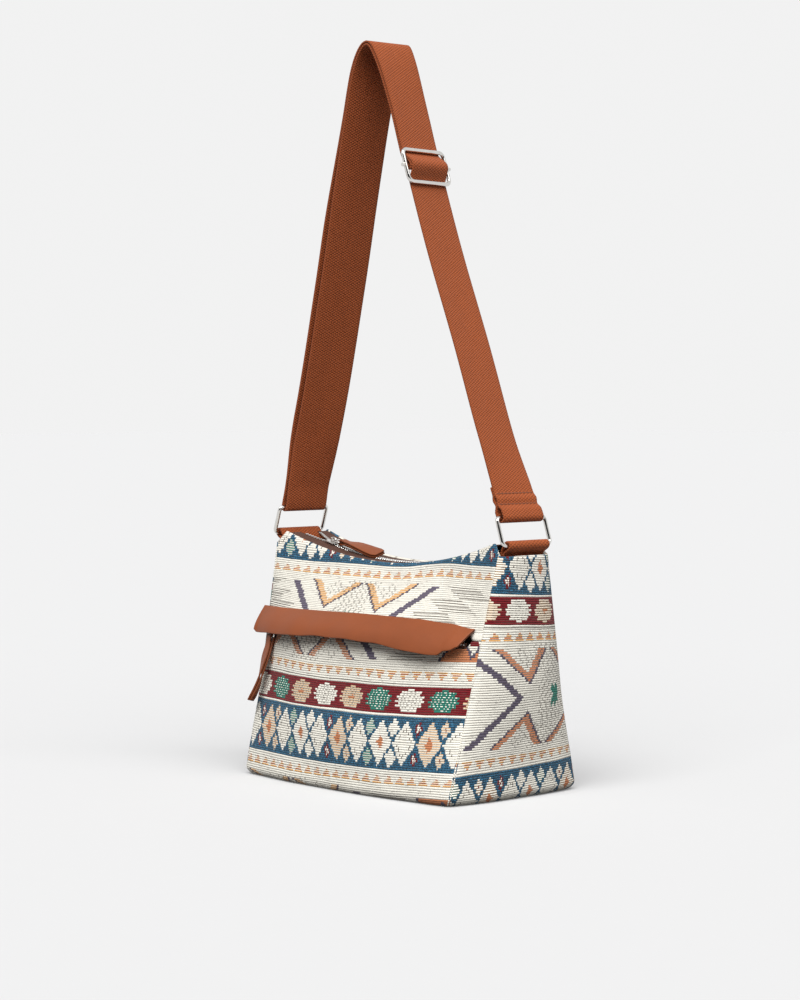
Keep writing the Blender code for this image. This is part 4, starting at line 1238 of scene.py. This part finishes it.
def tape(name, node, place, segments):
    bm = grid_bm(segments, 6)
    for vert in bm.verts:
        vert.co = place(vert.co.x, (vert.co.y + 1) / 2)
    bm.normal_update()
    thicken(piece(name, bm, "tape", "bag", [node], 60.0), TAPE, 0.0)


def teeth(name, node, frame_at, half, side, spread):
    """A row of rounded metal teeth, each set across its tape edge."""
    bm = bmesh.new()
    pitch = sizes().tooth_pitch
    count = int(2 * half / pitch)
    for i in range(count):
        x = -half + (i + (0.25 if side > 0 else 0.75)) * pitch
        single = bmesh.new()
        low = (-pitch * 0.27, side * ROW_GAP * 0.3, -ROW_HEIGHT / 2)
        high = (pitch * 0.27, side * (ROW_GAP + ROW_WIDTH), ROW_HEIGHT / 2)
        ordered = [[min(a, b), max(a, b)] for a, b in zip(low, high)]
        add_box(single, [pair[0] for pair in ordered], [pair[1] for pair in ordered], 0.0003, 1)
        shift = Matrix.Translation((0, side * spread(x), 0))
        absorb(bm, turned(single, frame_matrix(*frame_at(x)) @ shift))
    bmesh.ops.recalc_face_normals(bm, faces=bm.faces[:])
    piece(name, bm, "nickel", "bag", [node], 30.0)


def slider(name, node, body, matrix, bridge_turn, bridge_shift):
    """Two rounded plates on a blade, with a wire staple for the link."""
    bm = bmesh.new()
    half = SLIDER_LENGTH / 2
    wide = SLIDER_WIDTH / 2
    inner = ROW_HEIGHT / 2 + SLIDER_CLEARANCE
    add_box(bm, (-half, -wide, inner), (half, wide, PLATE_TOP), 0.0004, 3)
    add_box(bm, (-half, -wide, -PLATE_TOP), (half, wide, -inner), 0.0004, 3)
    add_box(bm, (-half * 0.9, -ROW_GAP / 2, -inner), (half * 0.3, ROW_GAP / 2, inner), 0.0001, 1)
    reach = BRIDGE_LENGTH / 2 - BRIDGE_WIRE / 2
    top = PLATE_TOP + BRIDGE_HEIGHT - BRIDGE_WIRE / 2
    arch = [(-reach, 0, PLATE_TOP - BRIDGE_WIRE / 2)]
    for angle in turn_angles(0, 180, 12):
        height = top - reach * 0.4 * (1 - math.sin(angle))
        arch.append((-reach * math.cos(angle), 0, height))
    arch += [(reach, 0, PLATE_TOP - BRIDGE_WIRE / 2)]
    staple = tube_bm(arch, BRIDGE_WIRE / 2, False)
    place = Matrix.Rotation(math.radians(bridge_turn), 4, "Z")
    place = place @ Matrix.Translation((bridge_shift, 0, 0))
    absorb(bm, turned(staple, place @ Matrix.Diagonal((1, 1.9, 1, 1))))
    turned(bm, matrix)
    bmesh.ops.recalc_face_normals(bm, faces=bm.faces[:])
    piece(name, bm, "nickel", body, [node], 35.0)


def link(name, node, body, matrix):
    half = LINK_LENGTH / 2
    points = [(half + a, b, 0) for a, b in rounded_loop(half, LINK_HALF_WIDTH, LINK_CORNER)]
    piece(name, turned(tube_bm(points, LINK_WIRE), matrix), "nickel", body, [node])


def pull(name, node, body, matrix, length, width, twist, curl=0.0):
    """A leather strip folded round the link's far bar, narrow where it passes the link."""
    bend = LINK_WIRE + PULL_FIT + PULL_LEATHER / 2
    ply = (PULL_LEATHER + PLY_GAP) / 2
    close = 3 * bend
    route = [Vector((lerp(length, close, i / 30), ply)) for i in range(31)]
    route += [Vector((close / 2, lerp(ply, bend, 0.7)))]
    route += [Vector((bend * math.cos(a), bend * math.sin(a))) for a in turn_angles(90, 270, 12)]
    route += [Vector((close / 2, -lerp(ply, bend, 0.7)))]
    route += [Vector((lerp(close, length, i / 30), -ply)) for i in range(31)]

    def half_width(point):
        share = ease((point.x - close / 2) / PULL_SHOULDER)
        tip = ease((length - point.x) / PULL_TIP)
        return lerp(PULL_ROOT_HALF, width / 2, share) * lerp(PULL_TIP_SHARE, 1.0, tip)

    def shape(place):
        turn = math.radians(twist) * ease(place.x / length)
        sway = 0.0006 * math.sin(place.x / length * 5.0) * ease(place.x / length * 3)
        sway += curl * (place.x / length) ** 3
        return matrix @ (Matrix.Rotation(turn, 3, "X") @ (place + Vector((0, 0, sway))))

    strip(name, route, half_width, PULL_LEATHER, "leather", body, node, shape, "leather_edge")


def bridge_eye():
    return PLATE_TOP + BRIDGE_HEIGHT - BRIDGE_WIRE - PULL_FIT - LINK_WIRE


def bridge_slot_end():
    return BRIDGE_LENGTH / 2 - BRIDGE_WIRE - LINK_WIRE - PULL_FIT


def top_zip():
    for label, side in (("front", -1), ("back", 1)):
        def place(u, v, side=side):
            x = u * (TOP_ZIP_HALF + TOP_TAPE_END)
            centre, _, _, up = arc_frame(x)
            inner = ROW_GAP + ROW_WIDTH * 0.4 + mouth_offset(x)
            across = lerp(inner, face_depth(x, centre.z) - PANEL - SEAM, v)
            soft = noise.noise(Vector((x * 40, side, v))) * 0.0004 * v * (1 - v) * 4
            return centre + Vector((0, side * across, 0)) + up * soft

        tape("top_tape_" + label, "top_zip_tape_" + label, place, 120)
        name, node = "top_teeth_" + label, "top_zip_teeth_" + label
        teeth(name, node, arc_frame, TOP_ZIP_HALF, side, mouth_offset)
    centre, along, across, up = arc_frame(TOP_SLIDER_X)
    seat = frame_matrix(centre, along, across, up)
    slider("top_slider_body", "top_zip_slider", "top_slider", seat, 0.0, 0.0)
    hinge = centre + up * bridge_eye() + along * bridge_slot_end()
    lift = Matrix.Rotation(math.radians(TOP_PULL_LIFT), 3, -across)
    run, rise = lift @ along, lift @ up
    link("top_link_wire", "top_zip_link", "top_link", frame_matrix(hinge, run, across, rise))
    far = frame_matrix(hinge + run * LINK_LENGTH, run, across, rise)
    pull(
        "top_pull_leather", "top_zip_pull", "top_pull", far,
        TOP_PULL_LENGTH, TOP_PULL_WIDTH, TOP_PULL_TWIST,
    )


def pocket_zip():
    for label, side in (("upper", 1), ("lower", -1)):
        edge = POCKET_ZIP_HEIGHT + side * (POCKET_SLIT / 2 - SEAM)

        def place(u, v, side=side, edge=edge):
            x = u * POCKET_ZIP_HALF
            centre, _, up, _ = pocket_frame(x)
            near = centre + up * side * (ROW_GAP + ROW_WIDTH * 0.4)
            return near.lerp(Vector((x, -(face_depth(x, edge) - PANEL / 2), edge)), v)

        tape("pocket_tape_" + label, "pocket_zip_tape_" + label, place, 100)
        name, node = "pocket_teeth_" + label, "pocket_zip_teeth_" + label
        teeth(name, node, pocket_frame, POCKET_ZIP_HALF, side, lambda x: 0.0)
    centre, along, up, out = pocket_frame(POCKET_SLIDER_X)
    seat = frame_matrix(centre, -along, -up, out)
    slider(
        "pocket_slider_body", "pocket_zip_slider", "pocket_slider", seat, 90.0, POCKET_BRIDGE_SHIFT,
    )
    hinge = centre + out * bridge_eye() - up * (POCKET_BRIDGE_SHIFT + bridge_slot_end())
    lean = math.radians(POCKET_PULL_LEAN)
    out_flat = (out - Vector((0, 0, out.z))).normalized()
    down = (out_flat * math.sin(lean) - Vector((0, 0, math.cos(lean)))).normalized()
    face_out = along.cross(down).normalized()
    if face_out.dot(out_flat) < 0:
        face_out = -face_out
    side = face_out.cross(down).normalized()
    near = frame_matrix(hinge, down, side, face_out)
    link("pocket_link_wire", "pocket_zip_link", "pocket_link", near)
    far = frame_matrix(hinge + down * LINK_LENGTH, down, side, face_out)
    pull(
        "pocket_pull_leather", "pocket_zip_pull", "pocket_pull", far,
        POCKET_PULL_LENGTH, POCKET_PULL_WIDTH, POCKET_PULL_TWIST, POCKET_PULL_CURL,
    )


# Strap, rings, loops and adjuster


class MiddleLine:
    """A smooth line through knots, read by distance along it and distance to its left."""

    def __init__(self, knots, steps=16):
        self.points = []
        for i in range(len(knots) - 1):
            before, after = knots[max(i - 1, 0)], knots[min(i + 2, len(knots) - 1)]
            start, stop = knots[i], knots[i + 1]
            for step in range(steps):
                t = step / steps
                a = start * (2 * t ** 3 - 3 * t ** 2 + 1)
                a = a + (stop - before) * 0.5 * (t ** 3 - 2 * t ** 2 + t)
                b = stop * (3 * t ** 2 - 2 * t ** 3) + (after - start) * 0.5 * (t ** 3 - t ** 2)
                self.points.append(a + b)
        self.points.append(knots[-1])
        self.normals = route_normals(self.points)
        self.distance = [0.0]
        for a, b in zip(self.points, self.points[1:]):
            self.distance.append(self.distance[-1] + (b - a).length)
        self.length = self.distance[-1]

    def at(self, s, n=0.0):
        s = min(max(s, 0.0), self.length)
        index = 0
        while index < len(self.distance) - 2 and self.distance[index + 1] < s:
            index += 1
        t = (s - self.distance[index]) / (self.distance[index + 1] - self.distance[index])
        point = self.points[index].lerp(self.points[index + 1], t)
        return point + self.normals[index].lerp(self.normals[index + 1], t).normalized() * n

    def frame(self, s):
        ahead = (self.at(s + 0.001) - self.at(s - 0.001)).normalized()
        return self.at(s), ahead, Vector((-ahead.y, ahead.x))


def blend_list(pairs, s):
    for (s0, n0), (s1, n1) in zip(pairs, pairs[1:]):
        if s <= s1:
            return lerp(n0, n1, ease((s - s0) / (s1 - s0)))
    return pairs[-1][1]


def samples(start, stop, step):
    count = max(2, round(abs(stop - start) / step))
    return [lerp(start, stop, i / count) for i in range(count + 1)]


def eye_turn(line, s, radius, direction):
    """The half turn of webbing round a wire at one end of the line."""
    centre, ahead, out = line.frame(s)
    side = -ahead if direction > 0 else ahead
    first = out if direction > 0 else -out
    angles = turn_angles(0, 180, 20)[1:-1]
    return [centre + first * radius * math.cos(a) + side * radius * math.sin(a) for a in angles]


def without_repeats(route):
    kept = [route[0]]
    for point in route[1:]:
        if (point - kept[-1]).length > 0.0003:
            kept.append(point)
    return kept


def strap_line():
    knots = [Vector((-RING_UPPER_X, RING_UPPER_Z))]
    for reach, rise in STRAP_WAYPOINTS:
        knots.append(Vector((reach * RING_UPPER_X, RING_UPPER_Z + rise * STRAP_RISE)))
    return MiddleLine(knots + [Vector((RING_UPPER_X, RING_UPPER_Z))])


def frame_stand():
    """How far the adjuster stands out from the strap's middle line."""
    return (WEBBING + PLY_GAP) / 2 + ADJUSTER_WIRE + WIRE_FIT + WEBBING / 2


def sewn_spread(end):
    """The outer ply near the right ring: pinched at each stitch row and full between them."""
    ply = (WEBBING + PLY_GAP) / 2
    upper, lower = (end - back for back in SEWN_ROWS)
    eye = RING_WIRE + WIRE_FIT + WEBBING / 2 + SWAY_SLACK
    return (
        (end - SEWN_TAIL - 0.004, ply), (upper, ply - 0.0003),
        (upper / 2 + lower / 2, ply + 0.0009), (lower, ply - 0.0002), (lower + 0.0045, eye),
        (end, eye),
    )


def strap_route(line):
    """The webbing's centre line, from the end sewn at the right ring to the one at the adjuster."""
    ply = (WEBBING + PLY_GAP) / 2
    eye = RING_WIRE + WIRE_FIT + WEBBING / 2
    over = ADJUSTER_BAR + WIRE_FIT + WEBBING / 2
    stand = frame_stand()
    end = line.length
    bar = end - ADJUSTER_RUN
    reach = ADJUSTER_LENGTH / 2
    sewn = sewn_spread(end)
    outer = (
        (0.0, eye), (RING_TAPER, ply + BELLY / 3), *((s, ply + BELLY) for s in BELLY_SPAN),
        (BELLY_END, ply), (bar - reach, ply), (bar, stand + over + WEBBING + PLY_GAP),
        (bar + reach, ply), *sewn,
    )
    inner_under = ply - WEBBING - PLY_GAP
    inner = (
        (0.0, -eye), (RING_TAPER, -ply), (bar - ADJUSTER_TAPER, -ply), (bar - reach, inner_under),
        (bar, stand - over),
    )
    right_eye = sewn[-1][1]
    tail = [(s, -n) for s, n in sewn]
    step = 0.0016
    route = [line.at(s, blend_list(tail, s)) for s in samples(end - SEWN_TAIL, end, step)]
    route += eye_turn(line, end, right_eye, -1)
    route += [line.at(s, blend_list(outer, s)) for s in samples(end, 0.0, step)]
    route += eye_turn(line, 0.0, eye, 1)
    route += [line.at(s, blend_list(inner, s)) for s in samples(0.0, bar - SEAM, step)]
    centre, ahead, out = line.frame(bar)
    centre = centre + out * stand
    for angle in turn_angles(-90, 90, 20):
        route.append(centre + ahead * over * math.cos(angle) + out * over * math.sin(angle))
    for share in (0.33, 0.66, 1.0):
        drop = ADJUSTER_TAIL_DROP * ease(share)
        route.append(centre - ahead * ADJUSTER_TAIL * share + out * (over - drop))
    return without_repeats(route)


def strap_hang(place):
    """Each strand of the standing strap turns a little about the upright, away from the rings."""
    turn = lerp(LEFT_STRAND_TURN, RIGHT_STRAND_TURN, ramp(place.x, STRAND_CHANGE))
    turn = math.radians(turn) * ramp(place.z, STRAND_TURN_RISE)
    curl = noise.noise(Vector((place.x * 9.0, 0.0, place.z * 9.0))) * STRAP_CURL
    curl *= ramp(place.z, STRAP_CURL_RISE)
    x = place.x + math.sin(turn) * place.y + curl * abs(place.y) / WEBBING_WIDTH * 2
    return Vector((x, place.y * math.cos(turn), place.z))


def webbing_half(_point):
    """Half the width of the webbing, which is the same all along."""
    return WEBBING_WIDTH / 2


def ring(label, side):
    lower = Vector((side * RING_LOWER_X, RING_LOWER_Z))
    upper = Vector((side * RING_UPPER_X, RING_UPPER_Z))
    rise = upper - lower
    half_width = WEBBING_WIDTH / 2 + RING_SIDE_GAP + RING_WIRE
    places = []
    for a, b in rounded_loop(rise.length / 2, half_width, RING_CORNER):
        run = lower + rise.normalized() * (a + rise.length / 2)
        places.append((run.x, b, run.y))
    name = label + "_ring"
    piece(name + "_wire", tube_bm(places, RING_WIRE), "nickel", name, [name])


def loop_line():
    low = GUSSET_HEIGHT - LOOP_TAIL
    ply = (WEBBING + PLY_GAP) / 2
    wall = half_length(low) + gusset_bulge(low) * crown(WEBBING_WIDTH / TOP_DEPTH, GUSSET_POWER)
    root_x = wall - PANEL - LOOP_SEWN_GAP - WEBBING / 2 - ply
    step = Vector((root_x, GUSSET_HEIGHT + LOOP_STEP))
    return MiddleLine([Vector((root_x, low)), step, Vector((RING_LOWER_X, RING_LOWER_Z))], 8)


def webbing_loop(label, side):
    ply = (WEBBING + PLY_GAP) / 2
    eye = RING_WIRE + WIRE_FIT + WEBBING / 2
    line = loop_line()
    spread = ((0.0, ply), (LOOP_TAIL, ply), (line.length, eye))
    stations = samples(0.0, line.length, 0.001)
    route = [line.at(s, -blend_list(spread, s)) for s in stations]
    route += eye_turn(line, line.length, eye, -1)
    route += [line.at(s, blend_list(spread, s)) for s in reversed(stations)]
    route = without_repeats(route)
    if side < 0:
        route = [Vector((-point.x, point.y)) for point in reversed(route)]
    name = label + "_webbing_loop"
    strip(
        name + "_weave", route, webbing_half, WEBBING, "webbing", "bag", name, lambda place: place,
    )


def stitch_row(name, body, places):
    """Thread stitches, each a small rounded bar between two points with an outward side."""
    bm = bmesh.new()
    for start, stop, out in places:
        along = stop - start
        single = bmesh.new()
        half = along.length / 2
        wide, tall = STITCH_HALF
        add_box(single, (-half, -wide, -tall), (half, wide, tall), STITCH_ROUND, 1)
        across = out.cross(along).normalized()
        seat = frame_matrix((start + stop) / 2, along.normalized(), across, out.normalized())
        absorb(bm, turned(single, seat))
    bmesh.ops.recalc_face_normals(bm, faces=bm.faces[:])
    piece(name, bm, "thread", body)


def strap_stitches(line):
    """Two rows across the webbing on both faces, where its end is sewn at the right ring."""
    spread = sewn_spread(line.length)
    pitch = sizes().stitch * 1.25
    count = int(WEBBING_WIDTH * 0.94 / pitch)
    places = []
    for back in SEWN_ROWS:
        s = line.length - back
        centre, _, out = line.frame(s)
        for way in (1, -1):
            face = centre + out * way * (blend_list(spread, s) + WEBBING / 2 + 0.0001)
            for i in range(count):
                y = (i - count / 2 + 0.5) * pitch
                low = strap_hang(Vector((face.x, y - sizes().stitch / 2, face.y)))
                high = strap_hang(Vector((face.x, y + sizes().stitch / 2, face.y)))
                places.append((low, high, Vector((out.x * way, 0, out.y * way))))
    stitch_row("strap_stitches", "strap", places)


def adjuster(line):
    centre, ahead, out = line.frame(line.length - ADJUSTER_RUN)
    centre = centre + out * frame_stand()
    seat = Matrix.Translation((centre.x, 0, centre.y))
    seat = seat @ Matrix(((ahead.x, 0, out.x), (0, 1, 0), (ahead.y, 0, out.y))).to_4x4()
    half_width = WEBBING_WIDTH / 2 + ADJUSTER_SIDE_GAP + ADJUSTER_WIRE
    outline = rounded_loop(ADJUSTER_LENGTH / 2, half_width, ADJUSTER_CORNER)
    wire = turned(tube_bm([(a, b, 0) for a, b in outline], ADJUSTER_WIRE), seat)
    tip = half_width + ADJUSTER_WIRE + ADJUSTER_HEAD
    stations = [(0, tip * share, 0) for share in (-1.0, -0.5, 0, 0.5, 1.0)]
    pin = turned(tube_bm(stations, ADJUSTER_BAR, False), seat)
    pieces = ((wire, "adjuster_wire", "adjuster_frame"), (pin, "adjuster_pin", "adjuster_bar"))
    for bm, name, node in pieces:
        for vert in bm.verts:
            vert.co = strap_hang(vert.co)
        piece(name, bm, "nickel", "strap", [node])


def strap():
    line = strap_line()
    strip(
        "strap_weave", strap_route(line), webbing_half, WEBBING, "webbing", "strap", "strap",
        strap_hang,
    )
    strap_stitches(line)
    adjuster(line)


# Operators


class BAG_OT_cloth(bpy.types.Operator):
    """Sews the woven walls: upper front, pocket, back, two gussets and base"""

    bl_idname = "bag.cloth"
    bl_label = "Woven walls"

    def execute(self, context):
        front_upper_cloth()
        pocket_cloth()
        back_cloth()
        gusset_cloth("left", -1)
        gusset_cloth("right", 1)
        base_cloth()
        return {"FINISHED"}


class BAG_OT_flap(bpy.types.Operator):
    """Cuts the leather flap over the pocket zip"""

    bl_idname = "bag.flap"
    bl_label = "Leather flap"

    def execute(self, context):
        placket_leather()
        return {"FINISHED"}


class BAG_OT_linings(bpy.types.Operator):
    """Hangs the inner bag and the back of the front pocket"""

    bl_idname = "bag.linings"
    bl_label = "Linings"

    def execute(self, context):
        inner_bag()
        pocket_bag()
        return {"FINISHED"}


class BAG_OT_zips(bpy.types.Operator):
    """Lays both zips: tapes, teeth, sliders, links and leather pulls"""

    bl_idname = "bag.zips"
    bl_label = "Zips and pulls"

    def execute(self, context):
        top_zip()
        pocket_zip()
        return {"FINISHED"}


class BAG_OT_strap(bpy.types.Operator):
    """Threads the webbing strap, its rings, loops, stitches and adjuster"""

    bl_idname = "bag.strap"
    bl_label = "Strap and rings"

    def execute(self, context):
        for label, side in (("left", -1), ("right", 1)):
            ring(label, side)
            webbing_loop(label, side)
        strap()
        return {"FINISHED"}


class BAG_OT_carried(bpy.types.Operator):
    """Gives the carried-over CAD pieces their finishes"""

    bl_idname = "bag.carried"
    bl_label = "Carried-over pieces"

    def execute(self, context):
        looks = {
            "lining_cloth": "lining",
            "zip_tape": "tape",
            "nickel": "nickel",
            "leather": "leather",
            "webbing": "tape",
            "woven_jacquard": "lining",
        }
        for part in frame["record"]["subparts"]:
            obj = frame["nodes"][part["node"]]
            obj.data.materials.clear()
            obj.data.materials.append(finish_named(looks[part["material_slot"]]))
        return {"FINISHED"}


class BAG_OT_stage(bpy.types.Operator):
    """Sets the pale floor, the soft light and the camera"""

    bl_idname = "bag.stage"
    bl_label = "Stage"

    def execute(self, context):
        stage()
        return {"FINISHED"}


# Stage

CAMERA_AZIMUTH = 47.2
CAMERA_ELEVATION = 2.34
CAMERA_DISTANCE = 1.764
CAMERA_TARGET = Vector((-0.0073, 0.0, 0.1965))
CAMERA_FOCAL_PIXELS = 2526.0
IMAGE_HEIGHT = 1000.0
SENSOR_MM = 36.0
PAPER = 0.885
PAPER_GLOW = 0.27
PAPER_STRENGTH = 0.4
AMBIENT = 0.22
CARD_DISTANCE = 2.5
CARD_SIZE = (7.0, 5.0)
CARD_TONES = ((0.012, 0.012, 0.013), (0.018, 0.018, 0.018))
FLOOR_SIZE = (28.0, 28.0)
FLOOR_TONES = ((0.80, 0.80, 0.80), (0.79, 0.79, 0.79))
FLOOR_BOUNCE = (0.14, 0.14, 0.14)
CLIP_END = 60.0
SUNS = (
    ("key", (0.30, -0.58, 0.76), 3.15, 42.0),
    ("fill", (0.66, -0.12, 0.74), 1.52, 46.0),
)


def seen_rays(tree):
    """1 for the rays that see the pale studio itself, and 0 for those that gather its light."""
    path = tree.nodes.new("ShaderNodeLightPath")
    seen = Number(tree, path.outputs["Is Camera Ray"])
    for kind in ("Is Glossy Ray", "Is Transmission Ray"):
        seen = seen.most(Number(tree, path.outputs[kind]))
    return seen


def backdrop_plane(name, size, matrix, made):
    bm = grid_bm(2, 2)
    bmesh.ops.scale(bm, vec=(size[0] / 2, size[1] / 2, 1), verts=bm.verts[:])
    turned(bm, matrix)
    mesh = bpy.data.meshes.new(name)
    bm.to_mesh(mesh)
    bm.free()
    mesh.materials.append(made)
    obj = bpy.data.objects.new(name, mesh)
    bpy.context.collection.objects.link(obj)
    return obj


def floor_material():
    """White paper. Rays from the camera see its shadows lightened, as under a wide soft light."""
    made, tree, shader = new_material("paper_floor")
    pale = mixed(tree, grain(tree, object_place(tree), 40.0) * 0.5, *FLOOR_TONES)
    seen = seen_rays(tree)
    colour = mixed(tree, seen, FLOOR_BOUNCE, pale)
    surface(tree, shader, Base_Color=colour, Roughness=1.0, Specular_IOR_Level=0.0)
    glow = tree.nodes.new("ShaderNodeEmission")
    glow.inputs["Color"].default_value = (1.0, 1.0, 1.0, 1.0)
    glow.inputs["Strength"].default_value = PAPER_STRENGTH
    blend = tree.nodes.new("ShaderNodeMixShader")
    linked(tree, seen * PAPER_GLOW, blend.inputs[0])
    tree.links.new(shader.outputs[0], blend.inputs[1])
    tree.links.new(glow.outputs[0], blend.inputs[2])
    tree.links.new(blend.outputs[0], tree.nodes["Material Output"].inputs["Surface"])
    return made


def flag_material():
    made, tree, shader = new_material("dark_card")
    tone = mixed(tree, grain(tree, object_place(tree), 8.0), *CARD_TONES)
    surface(tree, shader, Base_Color=tone, Roughness=0.9)
    return made


def world_light():
    world = bpy.data.worlds.new("studio")
    bpy.context.scene.world = world
    world.use_nodes = True
    tree = world.node_tree
    seen = seen_rays(tree)
    background = tree.nodes["Background"]
    colour = mixed(tree, seen, (AMBIENT, AMBIENT, AMBIENT * 1.02), (PAPER, PAPER, PAPER))
    tree.links.new(colour, background.inputs["Color"])
    background.inputs["Strength"].default_value = 1.0


def stage():
    backdrop_plane("floor", FLOOR_SIZE, Matrix(), floor_material())
    world_light()
    for name, toward, strength, spread in SUNS:
        light = bpy.data.lights.new(name, "SUN")
        light.energy = strength
        light.angle = math.radians(spread)
        lamp = bpy.data.objects.new(name, light)
        lamp.rotation_euler = Vector(toward).to_track_quat("Z", "Y").to_euler()
        bpy.context.collection.objects.link(lamp)
    lens = bpy.data.cameras.new("camera")
    lens.sensor_width = SENSOR_MM
    lens.lens = CAMERA_FOCAL_PIXELS / IMAGE_HEIGHT * SENSOR_MM
    lens.clip_end = CLIP_END
    camera = bpy.data.objects.new("camera", lens)
    bpy.context.collection.objects.link(camera)
    turn = math.radians(CAMERA_AZIMUTH)
    rise = math.radians(CAMERA_ELEVATION)
    level = math.cos(rise)
    back = Vector((math.sin(turn) * level, -math.cos(turn) * level, math.sin(rise)))
    camera.location = CAMERA_TARGET + back * CAMERA_DISTANCE
    facing = back.to_track_quat("Z", "Y")
    camera.rotation_euler = facing.to_euler()
    card = Matrix.Translation(CAMERA_TARGET + back * CARD_DISTANCE) @ facing.to_matrix().to_4x4()
    held = backdrop_plane("camera_card", CARD_SIZE, card, flag_material())
    held.visible_diffuse = False
    held.visible_shadow = False
    bpy.context.scene.camera = camera
    bpy.context.scene.view_settings.view_transform = "Standard"


class BAG_PT_sidebar(bpy.types.Panel):
    """Lists the bag's operators, sizes and colours"""

    bl_idname = "BAG_PT_sidebar"
    bl_label = "Woven bag"
    bl_space_type = "VIEW_3D"
    bl_region_type = "UI"
    bl_category = "Bag"

    def draw(self, context):
        for group in (context.scene.bag_sizes, context.scene.bag_colours):
            for name in group.__annotations__:
                self.layout.prop(group, name)
        for operator in OPERATORS:
            self.layout.operator(operator.bl_idname)


OPERATORS = (
    BAG_OT_carried, BAG_OT_cloth, BAG_OT_flap, BAG_OT_linings, BAG_OT_zips, BAG_OT_strap,
    BAG_OT_stage,
)
CLASSES = (BagColours, BagSizes, *OPERATORS, BAG_PT_sidebar)


def register():
    for made in CLASSES:
        bpy.utils.register_class(made)
    bpy.types.Scene.bag_colours = bpy.props.PointerProperty(type=BagColours)
    bpy.types.Scene.bag_sizes = bpy.props.PointerProperty(type=BagSizes)


def unregister():
    del bpy.types.Scene.bag_sizes
    del bpy.types.Scene.bag_colours
    for made in reversed(CLASSES):
        bpy.utils.unregister_class(made)


def main():
    register()
    for operator in OPERATORS:
        group, name = operator.bl_idname.split(".")
        getattr(getattr(bpy.ops, group), name)()


if __name__ == "__main__":
    main()
